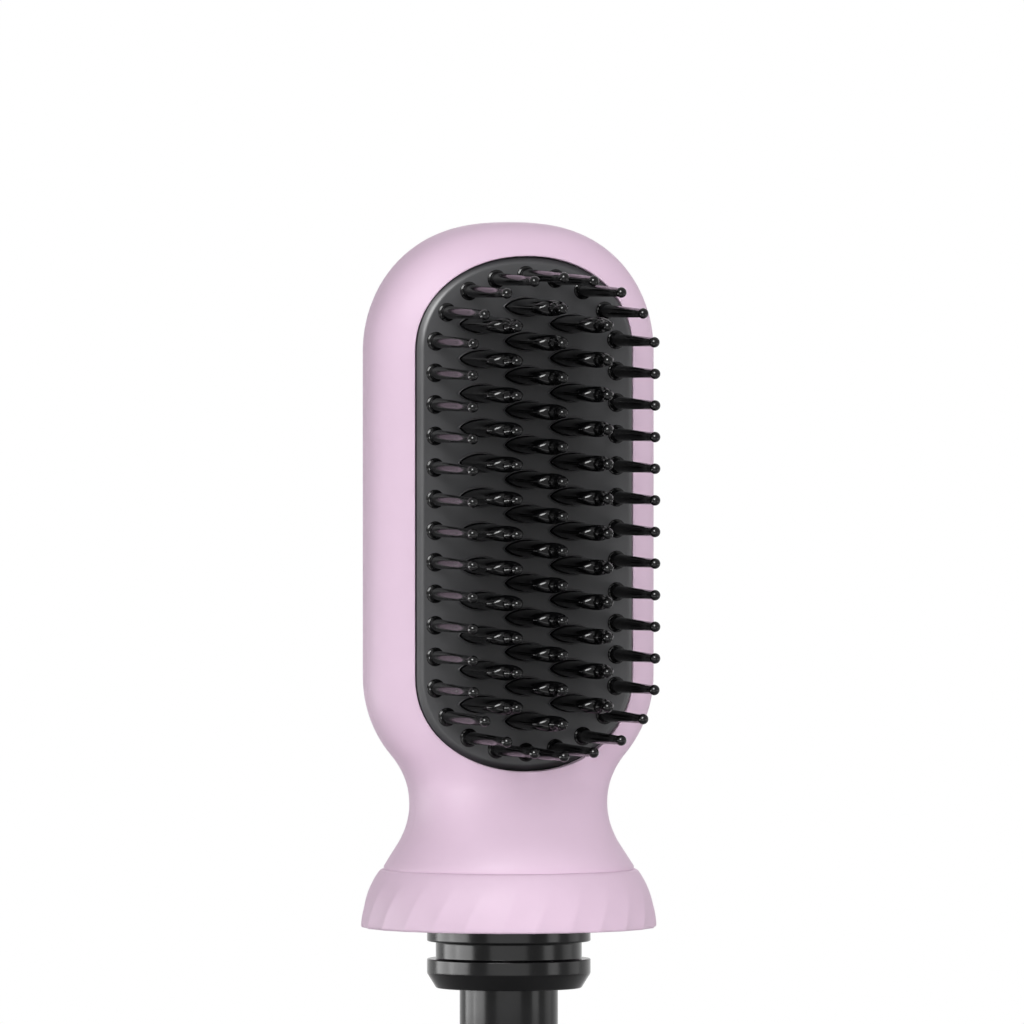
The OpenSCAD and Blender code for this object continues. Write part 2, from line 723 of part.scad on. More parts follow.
// One edge bristle from its foot: stub, flared foot, tapered shaft and ball
skirt_h = 1.5;
skirt_edge = 0.35;
module bristle() {
  ball_r = ball_d / 2;
  ball_at = bristle_len - ball_r;
  translate([0, 0, -plate_t]) cylinder(h = plate_t, r = socket_r - fit_gap);
  rotate_extrude() polygon(concat(
    [[0, 0], [bristle_foot_d / 2, 0], [bristle_foot_d / 2, skirt_edge]],
    [for (a = [30:30:90]) [
      mix(bristle_foot_d, bristle_d, sin(a)) / 2, mix(skirt_h, skirt_edge, cos(a))
    ]],
    [[bristle_tip_d / 2, ball_at], [0, ball_at]]
  ));
  translate([0, 0, ball_at]) sphere(ball_r, $fn = 24);
}

module edge_bristles() {
  color("#141416") for (p = bristle_places) on_plate(p, plate_face_y) bristle();
}

// One heated fin: an oval blade that stands on the comb's base and narrows to a rounded crest,
// with a socket for its tip
fin_reach = plate_face_y - comb_y + fin_h;
crest_r = 7;
tip_socket_r = 0.8;
tip_socket_h = 3;
module fin() {
  base = plate_face_y - comb_y;
  difference() {
    intersection() {
      linear_extrude(fin_reach) oval(fin_w, fin_t);
      rotate([90, 0, 0]) translate([0, 0, -fin_t]) linear_extrude(2 * fin_t) intersection() {
        polygon([
          [-fin_w / 2, -over], [fin_w / 2, -over], [fin_w / 2, base],
          [fin_top_w / 2, fin_reach], [-fin_top_w / 2, fin_reach], [-fin_w / 2, base]
        ]);
        union() {
          translate([0, fin_reach - crest_r]) circle(crest_r);
          translate([-fin_w, -over]) square([2 * fin_w, fin_reach - crest_r + over]);
        }
      }
    }
    translate([0, 0, fin_reach - tip_socket_h]) cylinder(h = tip_socket_h + over, r = tip_socket_r);
  }
}

module heat_fins() {
  color("#222226") for (p = fin_places) on_plate(p, comb_y) fin();
}

module comb_base() {
  color("#222226") difference() {
    towards_front(comb_back_y, comb_t) polygon(plate_outline(comb_inset));
    for (p = clamp_places) on_plate(p, comb_back_y - over)
      cylinder(h = comb_t + 2 * over, r = screw_r + fit_gap);
  }
}

// Ball tip that stands in the fin's crest
tip_edge = 0.4;
module fin_tip() {
  ball_r = ball_d / 2;
  reach = tip_h - fin_h;
  translate([0, 0, -tip_socket_h + fit_gap]) cylinder(h = tip_socket_h, r = tip_socket_r - fit_gap / 2);
  cylinder(h = reach - ball_r, r1 = fin_t / 2 - tip_edge, r2 = bristle_tip_d / 2 - fit_gap);
  translate([0, 0, reach - ball_r]) sphere(ball_r, $fn = 24);
}

module fin_tips() {
  color("#141416") for (p = fin_places) on_plate(p, plate_face_y + fin_h) fin_tip();
}

// The heating stack behind the comb, as layers that lie on each other
cell_gap = 1.5;
stack_l = cell_count * cell_l + (cell_count - 1) * cell_gap;
tab_l = 4;
tab_w = 4;
sheet_edge = 1;
strip_inset = 0.5;
module layer(y, t, w, l) {
  towards_front(y, t) square([w, l], center = true);
}

module electrode_tab(y, x) {
  towards_front(y, electrode_t) translate([x - tab_w / 2, -stack_l / 2 - tab_l]) square([tab_w, tab_l]);
}

module insulation_sheets() {
  color("#cbb98a") {
    layer(front_electrode_y, sheet_t, cell_w + 2 * sheet_edge, stack_l + 2 * sheet_edge);
    layer(clamp_y, sheet_t, cell_w + 2 * sheet_edge, stack_l + 2 * sheet_edge);
  }
}

module electrodes() {
  color("#c77b3e") {
    layer(cell_y, electrode_t, cell_w - 2 * strip_inset, stack_l);
    electrode_tab(cell_y, -pin_at);
    layer(back_sheet_y, electrode_t, cell_w - 2 * strip_inset, stack_l);
    electrode_tab(back_sheet_y, pin_at);
  }
}

module heater_cells() {
  color("#8b8680") for (i = [0:cell_count - 1]) towards_front(back_electrode_y, cell_t)
    translate([0, (i - (cell_count - 1) / 2) * (cell_l + cell_gap)]) square([cell_w, cell_l], center = true);
}

arm_w = 5;
module clamp_plate() {
  color("#9ea2a6") difference() {
    union() {
      layer(clamp_back_y, clamp_t, cell_w, stack_l);
      for (z = [-boss_z, 0, boss_z]) towards_front(clamp_back_y, clamp_t) translate([0, z]) {
        square([2 * boss_x, arm_w], center = true);
        for (x = [-boss_x, boss_x]) translate([x, 0]) circle(arm_w / 2);
      }
    }
    for (p = clamp_places) on_plate(p, clamp_back_y - over)
      cylinder(h = clamp_t + 2 * over, r = screw_r + fit_gap);
  }
}

clamp_screw_slack = 0.4;
clamp_screw_l = comb_y - clamp_back_y + comb_gap - clamp_screw_slack;
module clamp_screws() {
  color("#c4c7ca") for (p = clamp_places) on_plate(p, clamp_back_y - screw_head_h) {
    cylinder(h = screw_head_h, r = screw_head_r);
    cylinder(h = screw_head_h + clamp_screw_l, r = screw_r - fit_gap / 2);
  }
}

// Safety cut-out on the clamp plate, and the bead sensor on the comb's back
cutout_w = 7;
cutout_l = 12;
cutout_t = 3.6;
cutout_z = -24;
sensor_x = 12.4;
sensor_z = -14;
sensor_w = 3.6;
sensor_l = 6;
sensor_t = 2;
module thermal_cutout() {
  color("#b8a14f") towards_front(clamp_back_y - cutout_t, cutout_t) translate([0, cutout_z])
    square([cutout_w, cutout_l], center = true);
}

module temperature_sensor() {
  color("#30343c") towards_front(comb_back_y - sensor_t, sensor_t) translate([sensor_x, sensor_z]) {
    square([sensor_w, sensor_l - sensor_w], center = true);
    for (z = [-1, 1]) translate([0, z * (sensor_l - sensor_w) / 2]) circle(sensor_w / 2);
  }
}

// Leads: a round tube swept along a smooth curve through the route's points
lead_sides = 8;
lead_steps = 3;
function curve(p, i, t) = let (
    last = len(p) - 1,
    a = p[max(i - 1, 0)], b = p[i], c = p[i + 1], d = p[min(i + 2, last)]
  )
  0.5 * (2 * b + (c - a) * t + (2 * a - 5 * b + 4 * c - d) * t * t + (3 * b - a - 3 * c + d) * t * t * t);
function smooth_path(p) = concat(
  [for (i = [0:len(p) - 2], j = [0:lead_steps - 1]) curve(p, i, j / lead_steps)], [p[len(p) - 1]]
);
function unit(v) = v / norm(v);
module lead(route, r) {
  path = smooth_path(route);
  last = len(path) - 1;
  points = [for (i = [0:last]) let (
      along = unit(path[min(i + 1, last)] - path[max(i - 1, 0)]),
      across = unit(cross(along, [1, 0, 0])),
      third = cross(along, across)
    )
    for (n = [0:lead_sides - 1]) let (a = 360 * n / lead_sides)
      path[i] + r * (cos(a) * across + sin(a) * third)];
  walls = [for (i = [0:last - 1], n = [0:lead_sides - 1]) let (q = (n + 1) % lead_sides, k = lead_sides)
    each [[i * k + n, (i + 1) * k + n, (i + 1) * k + q], [i * k + n, (i + 1) * k + q, i * k + q]]];
  caps = [[for (n = [0:lead_sides - 1]) n], [for (n = [1:lead_sides]) (last + 1) * lead_sides - n]];
  polyhedron(points, concat(walls, caps));
}

// Every lead rises straight through the grommet to the neck, then bends to its place on the stack.
// A short one joins the cut-out to the back electrode
lead_start_z = block_z + block_h + pin_high;
riser_h = 9;
neck_up_z = foot_z + riser_h;
tab_z = plate_z - stack_l / 2 - tab_l;
lead_gap = 0.2;
joint_up = 2.3;
joint_z = tab_z + joint_up;
cell_lead_y = lead_r + lead_gap - cell_y;
tab_lead_y = lead_r + lead_gap - back_sheet_y;
cutout_low_z = plate_z + cutout_z - cutout_l / 2;
back_lead_x = 1.8;
back_lead_y = cutout_t / 2 - clamp_back_y;
bend_x = 2.4;
bend_y = 4.4;
low_bend_y = 0.5;
low_bend_z = tab_z - 9;
tab_bend_z = tab_z - 3;
back_bend_z = tab_z - 2;
back_run_z = tab_z + 6;
loop_drop = 0.6;
function riser(x, y) = [[x, y, lead_start_z], [x, y, foot_z], [x, y, neck_up_z]];
module power_leads() {
  color("#b23a34") {
    lead(concat(riser(-pin_at, pin_at), [
      [-pin_at, low_bend_y, low_bend_z], [-pin_at, cell_lead_y, tab_bend_z],
      [-pin_at, cell_lead_y, joint_z]
    ]), lead_r);
    lead(concat(riser(pin_at, pin_at), [
      [bend_x, bend_y, back_bend_z], [back_lead_x, back_lead_y, back_run_z],
      [back_lead_x, back_lead_y, cutout_low_z - lead_gap]
    ]), lead_r);
    lead([
      [-back_lead_x, back_lead_y, cutout_low_z - lead_gap], [-back_lead_x, back_lead_y, back_run_z + tab_l],
      [-back_lead_x, back_lead_y, tab_z + tab_l], [-back_lead_x / 2, tab_lead_y + lead_r, tab_z - loop_drop],
      [pin_at - lead_r, tab_lead_y, tab_z - 2 * loop_drop], [pin_at, tab_lead_y, joint_z]
    ], lead_r);
  }
}

sensor_bend_x = 7;
sensor_bend_y = -0.6;
sensor_bend_z = tab_z - 6;
pair_spread = 1.6;
pair_step = 0.9;
module sensor_leads() {
  sensor_lead_y = sensor_t / 2 - comb_back_y;
  color("#e8e4dc") for (side = [-1, 1]) lead(concat(riser(side * pin_at, -pin_at), [
    [sensor_bend_x + side * pair_spread, sensor_bend_y, sensor_bend_z],
    [sensor_x - thin_r + side * pair_step, sensor_lead_y, back_run_z],
    [sensor_x + side * pair_step, sensor_lead_y, plate_z + sensor_z - sensor_l / 2]
  ]), thin_r);
}

tie_t = 0.9;
tie_h = 2.6;
tie_up = 3.4;
tie_gap = 0.25;
module lead_tie() {
  tie_in = norm([pin_at, pin_at]) + lead_r + tie_gap;
  color("#e8e4dc") translate([0, 0, foot_z + tie_up]) washer(tie_in, tie_in + tie_t, tie_h);
}

front_shell();
rear_shell();
lock_ring();
ring_retainer();
wave_washer();
stop_pins();
plug_body();
plug_screws();
stem_tube();
contact_block();
contact_pins();
grommet();
bristle_plate();
plate_screws();
edge_bristles();
comb_base();
heat_fins();
fin_tips();
insulation_sheets();
electrodes();
heater_cells();
clamp_plate();
clamp_screws();
thermal_cutout();
temperature_sensor();
power_leads();
sensor_leads();
lead_tie();
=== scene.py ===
from math import acos, asin, atan2, copysign, cos, hypot, pi, radians, sin, sqrt, tan, tau

import bmesh
import bpy
from bpy.props import FloatProperty, FloatVectorProperty, IntProperty, PointerProperty
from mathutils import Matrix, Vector


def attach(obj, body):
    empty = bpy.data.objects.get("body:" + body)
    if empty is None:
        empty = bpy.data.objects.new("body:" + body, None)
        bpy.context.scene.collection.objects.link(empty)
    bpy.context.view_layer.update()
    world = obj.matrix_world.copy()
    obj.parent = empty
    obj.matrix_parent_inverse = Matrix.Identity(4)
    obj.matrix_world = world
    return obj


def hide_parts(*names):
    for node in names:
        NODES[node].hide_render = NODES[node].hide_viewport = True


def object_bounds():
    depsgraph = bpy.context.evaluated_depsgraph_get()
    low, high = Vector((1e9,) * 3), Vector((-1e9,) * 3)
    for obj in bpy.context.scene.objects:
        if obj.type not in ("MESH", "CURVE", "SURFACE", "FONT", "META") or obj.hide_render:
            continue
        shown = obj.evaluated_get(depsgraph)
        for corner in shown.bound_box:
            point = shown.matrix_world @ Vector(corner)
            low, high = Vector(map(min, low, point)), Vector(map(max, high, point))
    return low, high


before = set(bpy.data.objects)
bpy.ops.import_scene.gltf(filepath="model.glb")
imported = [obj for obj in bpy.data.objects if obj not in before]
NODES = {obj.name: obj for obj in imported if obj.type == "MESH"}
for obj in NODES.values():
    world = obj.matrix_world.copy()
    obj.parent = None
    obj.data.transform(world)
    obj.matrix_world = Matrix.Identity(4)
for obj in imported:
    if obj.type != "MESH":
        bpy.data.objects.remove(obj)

bl_info = {
    "name": "Hot Brush Head",
    "version": (1, 0, 0),
    "blender": (4, 5, 0),
    "location": "3D View > Sidebar > Hot Brush",
    "description": "Builds the pieces and finishes of a hair styler's heated brush head around its frame",
    "category": "Object",
}

CAD_LOW, CAD_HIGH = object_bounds()
MM = 0.001


def length(name, millimetres, description):
    """A size in metres for a property group, with its default in millimetres."""
    return FloatProperty(
        name=name, description=description, default=millimetres * MM, min=0,
        subtype="DISTANCE", unit="LENGTH", precision=5,
    )


def linear(value):
    """The linear colour of an sRGB hex value such as e3cadd."""
    parts = [int(value[i:i + 2], 16) / 255 for i in (0, 2, 4)]
    return [c / 12.92 if c <= 0.04045 else ((c + 0.055) / 1.055) ** 2.4 for c in parts] + [1.0]


def colour(name, value, description):
    """A colour for a property group, from its sRGB hex value."""
    return FloatVectorProperty(
        name=name, description=description, default=linear(value), size=4, subtype="COLOR", min=0, max=1,
    )


class BRUSH_PG_shell(bpy.types.PropertyGroup):
    foot_z: length("Foot height", 50.93, "Height of the shell's foot above the stem's end")
    foot_d: length("Foot diameter", 54.4, "Diameter of the shell's round foot")
    foot_edge: length("Foot edge", 0.6, "Height of the foot's upright edge")
    neck_z: length("Neck height", 64, "Height of the waist above the stem's end")
    neck_w: length("Neck width", 43.1, "Width of the waist")
    neck_front: length("Neck front", 13, "Depth of the neck in front of the axis")
    neck_back: length("Neck back", 15.4, "Depth of the neck behind the axis")
    low_waist_r: length("Lower waist radius", 13.7, "Radius of the waist towards the foot")
    high_waist_r: length("Upper waist radius", 17.5, "Radius of the waist towards the head")
    shoulder_z: length("Shoulder height", 92.9, "Height where the head's sides turn straight")
    head_w: length("Head width", 65.4, "Width of the head")
    head_front: length("Head front", 13.9, "Depth of the head in front of the axis")
    head_back: length("Head back", 16.2, "Depth of the head behind the axis")
    dome_z: length("Dome height", 163.7, "Height where the domed top starts")
    dome_h: length("Dome rise", 27.89, "Height of the domed top")
    wall: length("Wall", 2.2, "Wall of the shell")
    mouth_r: length("Mouth rounding", 0.35, "Rounding of the edge round the bristle plate")
    seam: length("Seam", 0.04, "Half the gap between the two shells")


class BRUSH_PG_ring(bpy.types.PropertyGroup):
    low_z: length("Rim height", 38.2, "Height of the ring's rim above the stem's end")
    height: length("Height", 12.7, "Height of the ring")
    rim_d: length("Rim diameter", 64.39, "Diameter at the rim")
    top_d: length("Top diameter", 55.8, "Diameter at the top edge")
    wall: length("Wall", 2.2, "Wall of the ring")
    web: length("Web", 2.6, "Thickness of the web that turns on the hub")
    bore_r: length("Bore radius", 23.6, "Radius of the web's bore")
    slot_r: length("Slot radius", 26, "Outer radius of the stop pins' slots")
    flute_depth: length("Flute depth", 0.42, "Depth of a flute at the rim")
    flute_h: length("Flute height", 12.6, "Height over which a flute fades out")
    flutes: IntProperty(name="Flutes", description="Number of finger flutes", default=26, min=3)


class BRUSH_PG_plug(bpy.types.PropertyGroup):
    low_z: length("Plug height", 25, "Height of the plug's lower face above the stem's end")
    tip_r: length("Tip radius", 15.8, "Radius of the plug's lower face")
    ring_r: length("Ring radius", 17.8, "Radius of the plug's two rings")
    groove_r: length("Groove radius", 15.9, "Radius of the groove between the rings")
    stem_r: length("Stem radius", 10.7, "Radius of the stem tube")
    stem_wall: length("Stem wall", 1.5, "Wall of the stem tube")
    hub_r: length("Hub radius", 23.3, "Radius of the hub that the lock ring turns on")


class BRUSH_PG_plate(bpy.types.PropertyGroup):
    mid_z: length("Middle height", 128.5, "Height of the plate's middle above the stem's end")
    width: length("Width", 49.6, "Width of the plate")
    length: length("Length", 111.4, "Length of the plate")
    end: length("End", 20.4, "Height of each rounded end")
    rim_y: length("Rim depth", 10.3, "Distance from the axis to the plate's rim")
    face_y: length("Face depth", 11.2, "Distance from the axis to the plate's face")
    gap: length("Gap", 0.25, "Gap between the plate and the shell")
    fin_w: length("Fin width", 9.7, "Width of a fin at its base")
    fin_top_w: length("Fin top width", 8.2, "Width of a fin at its top")
    fin_t: length("Fin thickness", 3.5, "Thickness of a fin")
    fin_h: length("Fin height", 18.2, "Height of a fin above the plate's face")
    lip_w: length("Lip width", 0.42, "Width of the lip round a window")
    lip_h: length("Lip height", 0.4, "Height of the lip round a window")
    window_gap: length("Window gap", 0.1, "Gap between a fin and its window")


class BRUSH_PG_bristles(bpy.types.PropertyGroup):
    count: IntProperty(name="Count", description="Number of edge bristles", default=38, min=4)
    inset: length("Inset", 3.9, "Distance from the plate's edge to the row")
    reach: length("Length", 25.8, "Length above the plate's face")
    foot_r: length("Foot radius", 2.05, "Radius of the bristle's foot")
    shaft_r: length("Shaft radius", 1.4, "Radius of the shaft at the foot")
    neck_r: length("Neck radius", 0.95, "Radius of the shaft under the ball")
    ball_r: length("Ball radius", 1.175, "Radius of the ball tip")
    tip_reach: length("Fin tip length", 24.8, "Height of a fin's ball tip above the plate's face")


class BRUSH_PG_colours(bpy.types.PropertyGroup):
    shell: colour("Shell", "e6cbe0", "Lilac pink of the shell")
    plate: colour("Plate", "3c3c3e", "Black of the bristle plate")
    bristle: colour("Bristle", "0a0a0b", "Black of the bristles")
    fin: colour("Fin", "070708", "Black of the coated fins")
    plug: colour("Plug", "0e0e0f", "Black of the plug and the stem")


# Mesh helpers

def grid(bm, columns, rows, place, drop=None):
    """A grid whose vertices move to place(column, row); drop(column, row) names faces to leave out."""
    made = bmesh.ops.create_grid(bm, x_segments=columns, y_segments=rows, size=1)["verts"]
    at = {v: (round((v.co.x + 1) / 2 * columns), round((v.co.y + 1) / 2 * rows)) for v in made}
    if drop:
        faces = {f for v in made for f in v.link_faces}
        gone = [f for f in faces if drop(min(at[v][0] for v in f.verts), min(at[v][1] for v in f.verts))]
        bmesh.ops.delete(bm, geom=gone, context="FACES")
    for v in made:
        if v.is_valid:
            v.co = place(*at[v])


def turned(bm, profile, segments, centre=(0, 0, 0), axis=(0, 0, 1), closed=True):
    """Spins a profile of (radius, height) points about an axis through centre."""
    centre, axis = Vector(centre), Vector(axis)
    verts = [bm.verts.new(centre + Vector((r, 0, 0)) + h * axis) for r, h in profile]
    edges = [bm.edges.new(pair) for pair in zip(verts, verts[1:])]
    if closed:
        edges.append(bm.edges.new((verts[-1], verts[0])))
    bmesh.ops.spin(
        bm, geom=verts + edges, cent=centre, axis=axis, angle=tau, steps=segments, use_merge=True,
    )


def held(profile, hold):
    """A closed profile with points beside its corners, so that its walls stay straight in shading."""
    points = []
    for (r0, z0), (r1, z1) in zip(profile, profile[1:] + profile[:1]):
        share = hold / hypot(r1 - r0, z1 - z0)
        points.append((r0, z0))
        if share < 0.4:
            points += [(mix(r0, r1, t), mix(z0, z1, t)) for t in (share, 1 - share)]
    return points


def round_edges(bm, width, segments, least, keep=lambda e: True):
    """Rounds the edges that keep accepts, where faces meet at more than the least angle."""
    sharp = [e for e in bm.edges if len(e.link_faces) == 2 and e.calc_face_angle(0) > least and keep(e)]
    bmesh.ops.bevel(
        bm, geom=sharp, offset=width, offset_type="OFFSET", segments=segments, profile=0.5,
        affect="EDGES", clamp_overlap=True, material=-1,
    )


def clean(bm):
    """Merges points within 2 micrometres, drops those without faces and turns the faces outwards."""
    bmesh.ops.remove_doubles(bm, verts=bm.verts, dist=2e-6)
    bmesh.ops.dissolve_degenerate(bm, edges=bm.edges, dist=1e-7)
    bmesh.ops.delete(bm, geom=[v for v in bm.verts if not v.link_faces], context="VERTS")
    bmesh.ops.recalc_face_normals(bm, faces=bm.faces)


def close_ends(bm):
    """Cleans the mesh, fills its open ends and turns the faces outwards."""
    clean(bm)
    bmesh.ops.holes_fill(bm, edges=[e for e in bm.edges if e.is_boundary], sides=0)
    bmesh.ops.recalc_face_normals(bm, faces=bm.faces)


def mesh_from(name, bm):
    """Makes the bmesh a mesh and frees it."""
    mesh = bpy.data.meshes.new(name)
    bm.to_mesh(mesh)
    bm.free()
    return mesh


def linked(name, data):
    """A new object with the data, linked to the scene."""
    made = bpy.data.objects.new(name, data)
    bpy.context.scene.collection.objects.link(made)
    return made


def piece(name, bm, body, material, stands_for=(), sharp=38):
    """Makes the mesh an object that rides on a body, stands for CAD nodes and has its finish."""
    mesh = mesh_from(name, bm)
    mesh.shade_smooth()
    mesh.set_sharp_from_angle(angle=radians(sharp))
    made = linked(name, mesh)
    mesh.materials.append(material)
    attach(made, body)
    if stands_for:
        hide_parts(*stands_for)
    return made


def carve(target, cutter_bm):
    """Takes the cutter's solids out of a finished piece's mesh and removes the cutter."""
    mesh = mesh_from("cutter", cutter_bm)
    cutter = linked("cutter", mesh)
    cut = target.modifiers.new("cut", "BOOLEAN")
    cut.operation, cut.solver, cut.object = "DIFFERENCE", "EXACT", cutter
    bpy.context.view_layer.update()
    seen = target.evaluated_get(bpy.context.evaluated_depsgraph_get())
    result = bpy.data.meshes.new_from_object(seen)
    target.modifiers.remove(cut)
    old = target.data
    target.data = result
    bpy.data.objects.remove(cutter)
    bpy.data.meshes.remove(mesh)
    result.name = target.name
    bpy.data.meshes.remove(old)


# Forms of the brush head

def smooth_step(s):
    """0 to 1 with level ends."""
    s = min(max(s, 0), 1)
    return s * s * (3 - 2 * s)


def mix(a, b, s):
    """The value at share s of the way from a to b."""
    return a + (b - a) * s


def quarter(steps):
    """Angles from 0 to a right angle."""
    return [i / steps * pi / 2 for i in range(steps + 1)]


# Powers of the curves, where 2 is round and more is fuller
DOME_WIDTH_POWER = 2.45
DOME_RISE_POWER = 1.95
DOME_DEPTH_POWER = 3
HEAD_POWER = 2.4
OUTLINE_POWER = 2.1
# Turns of the ring, in degrees
LOCK_TURN, SLOT_SLACK = 30, 2.8
FLUTE_START, FLUTE_LEAN = -2.5, 10
# Sizes that no slider sets
NECK_BLEND = 7 * MM
FLANGE_BORE_R, FLANGE_H = 14 * MM, 3 * MM
CATCH_X, CATCH_Y = 29.7 * MM, 1.1 * MM
CATCH_SIZE = (1 * MM, 6.4 * MM, 9 * MM)
RING_EDGE, WEB_EDGE = 0.5 * MM, 0.2 * MM
LUG_R, LUG_LOW, LUG_HIGH = 27 * MM, 2.5 * MM, 4.9 * MM
SLOT_LOW = 8.9 * MM
SPIGOT_MM = 19
PLUG_BORE_R, LEAD_BORE_R = 10.3 * MM, 8 * MM
SCREW_RING_R, PLUG_SCREW_R, COUNTERBORE_R = 20 * MM, 1.2 * MM, 1.9 * MM
PLATE_SCREW_X, PLATE_SCREW_Z, SCREW_EAR_R = 3.8 * MM, 5.6 * MM, 2.2 * MM
STACK_BOSS_X, STACK_BOSS_Z, STACK_BOSS_R = 6.9 * MM, 34.5 * MM, 1.9 * MM
FIN_STEP, FIN_COLUMN = 7.5 * MM, 10.4 * MM
FIN_FOOT_Y = 5.6 * MM
POST_SIDES, WINDOW_SIDES = 20, 40


class ShellForm:
    """The loft of the head's shell: half width, depths and corner power at each height."""

    def __init__(self, s, inset=0.0):
        self.s, self.inset = s, inset
        self.blend = s.neck_z - s.foot_z + NECK_BLEND
        flare = s.neck_z - s.foot_z - s.foot_edge
        run = s.neck_w / 2 + s.low_waist_r - s.foot_d / 2
        self.flare = asin(s.low_waist_r / hypot(run, flare)) - atan2(run, flare)
        self.flare_z = s.neck_z - s.low_waist_r * sin(self.flare)
        rise, out = s.shoulder_z - s.neck_z, (s.head_w - s.neck_w) / 2
        total = (out * out + rise * rise) / (2 * out)
        self.shoulder_r = total - s.high_waist_r
        self.join_z = s.neck_z + rise * s.high_waist_r / total

    def half_width(self, z):
        s = self.s
        waist = lambda r: s.neck_w / 2 + r - sqrt(max(r * r - (z - s.neck_z) ** 2, 0))
        if z < self.flare_z:
            return s.foot_d / 2 - max(z - s.foot_z - s.foot_edge, 0) * tan(self.flare)
        if z < s.neck_z:
            return waist(s.low_waist_r)
        if z < self.join_z:
            return waist(s.high_waist_r)
        if z < s.shoulder_z:
            r = self.shoulder_r
            return s.head_w / 2 - r + sqrt(r * r - (z - s.shoulder_z) ** 2)
        return s.head_w / 2

    def ring(self, z, side):
        """Half width, depth on that side (-1 front, 1 back) and corner power at a height."""
        s = self.s
        neck, head = (s.neck_front, s.head_front) if side < 0 else (s.neck_back, s.head_back)
        low = s.foot_z + self.blend
        if z < low:
            depth = mix(s.foot_d / 2, neck, smooth_step((z - s.foot_z) / self.blend))
        else:
            depth = mix(neck, head, smooth_step((z - low) / (s.shoulder_z - low)))
        width, depth = self.half_width(z) - self.inset, depth - self.inset
        rise = min(max(z - s.dome_z, 0) / (s.dome_h - self.inset), 1)
        width *= (1 - rise ** DOME_RISE_POWER) ** (1 / DOME_WIDTH_POWER)
        depth *= (1 - rise ** DOME_DEPTH_POWER) ** (1 / DOME_DEPTH_POWER)
        return width, depth, mix(2, HEAD_POWER, smooth_step((z - s.foot_z) / self.blend))

    def at(self, angle, z, side):
        """Point of the skin at an angle round the half section, 0 on the right."""
        z = min(z, self.s.dome_z + self.s.dome_h - self.inset)
        width, depth, power = self.ring(z, side)
        c, sn = cos(angle), max(sin(angle), 0)
        x = copysign(width * abs(c) ** (2 / power), c) if abs(c) > 1e-9 else 0.0
        return Vector((x, side * (depth * sn ** (2 / power) + self.s.seam), z))

    def angle_of(self, x, z, side):
        """Angle round the half section of the skin's point at x, for x to the right of the axis."""
        width, _, power = self.ring(z, side)
        return acos(min(max(x / width, 0), 1) ** (power / 2)) if width > 1e-9 else pi / 2

    def dome_heights(self, low, steps):
        """Heights from low to the top that lie evenly round the dome."""
        s = self.s
        start = asin(((low - s.dome_z) / s.dome_h) ** (DOME_RISE_POWER / 2))
        turns = [mix(start, pi / 2, i / steps) for i in range(steps + 1)]
        return [s.dome_z + s.dome_h * sin(a) ** (2 / DOME_RISE_POWER) for a in turns]


def plate_point(p, angle, inset):
    """Point (x, z from the plate's middle) of the plate's outline that lies in by inset."""
    c, s = cos(angle), sin(angle)
    x = copysign((p.width / 2 - inset) * abs(c) ** (2 / OUTLINE_POWER), c) if abs(c) > 1e-9 else 0.0
    z = copysign((p.end - inset) * abs(s) ** (2 / OUTLINE_POWER) + p.length / 2 - p.end, s)
    return x, z


def fin_places():
    """Places (x, z) of the 37 fins; the outer columns stand half a step off the middle one."""
    middle = [(0, (i - 6) * FIN_STEP) for i in range(13)]
    return middle + [(side * FIN_COLUMN, (i - 5.5) * FIN_STEP) for side in (-1, 1) for i in range(12)]


def bristle_places(p, b):
    """Places (x, z) of the edge bristles, in equal steps along the loop."""
    steps = 200
    path = [plate_point(p, mix(pi / 2, 1e-4, i / steps), b.inset) for i in range(steps + 1)]
    path.append((path[-1][0], 0.0))
    run = [0.0]
    for (x0, z0), (x1, z1) in zip(path, path[1:]):
        run.append(run[-1] + hypot(x1 - x0, z1 - z0))
    places = []
    for k in range(b.count):
        turn = 4 * k / b.count
        q, part = int(turn), turn - int(turn)
        along = (part if q % 2 == 0 else 1 - part) * run[-1]
        i = min(sum(r <= along for r in run) - 1, len(path) - 2)
        t = (along - run[i]) / (run[i + 1] - run[i])
        x, z = mix(path[i][0], path[i + 1][0], t), mix(path[i][1], path[i + 1][1], t)
        places.append(((1 if q < 2 else -1) * x, (1 if q in (0, 3) else -1) * z))
    return places


def oval(width, thickness, angle):
    """Point (x, z) of a fin's section at an angle: two wide arcs with rounded ends."""
    long = width + 1.2 * MM
    r = (long * long + thickness * thickness) / (4 * thickness)
    x = width / 2 * cos(angle)
    z = sqrt(r * r - x * x) - r + thickness / 2
    end = sqrt(max(1 - abs(cos(angle)) ** 10, 0))
    return x, copysign(z * end, sin(angle))


def sector(bm, inner, outer, low, high, start, sweep, steps=12, top_outer=None):
    """A closed part of a ring about the axis, from two radii, two heights and an angle range."""
    turn = Vector((cos(start), sin(start), 0))
    up = Vector((0, 0, 1))
    section = ((inner, low), (outer, low), (top_outer or outer, high), (inner, high))
    verts = [bm.verts.new(r * turn + z * up) for r, z in section]
    face = bm.faces.new(verts)
    bmesh.ops.spin(bm, geom=[face], cent=(0, 0, 0), axis=up, angle=sweep, steps=steps)


def post(bm, x, z, low, high, radius):
    """A round post along the front's direction, between two depths in front of the axis."""
    profile = [(0, low), (radius, low), (radius, high), (0, high)]
    turned(bm, profile, POST_SIDES, (x, 0, z), (0, -1, 0), closed=False)


def block(bm, centre, size):
    """A box from its middle and its size."""
    made = bmesh.ops.create_cube(bm, size=1)["verts"]
    bmesh.ops.scale(bm, vec=size, verts=made)
    bmesh.ops.translate(bm, vec=centre, verts=made)


# Shells

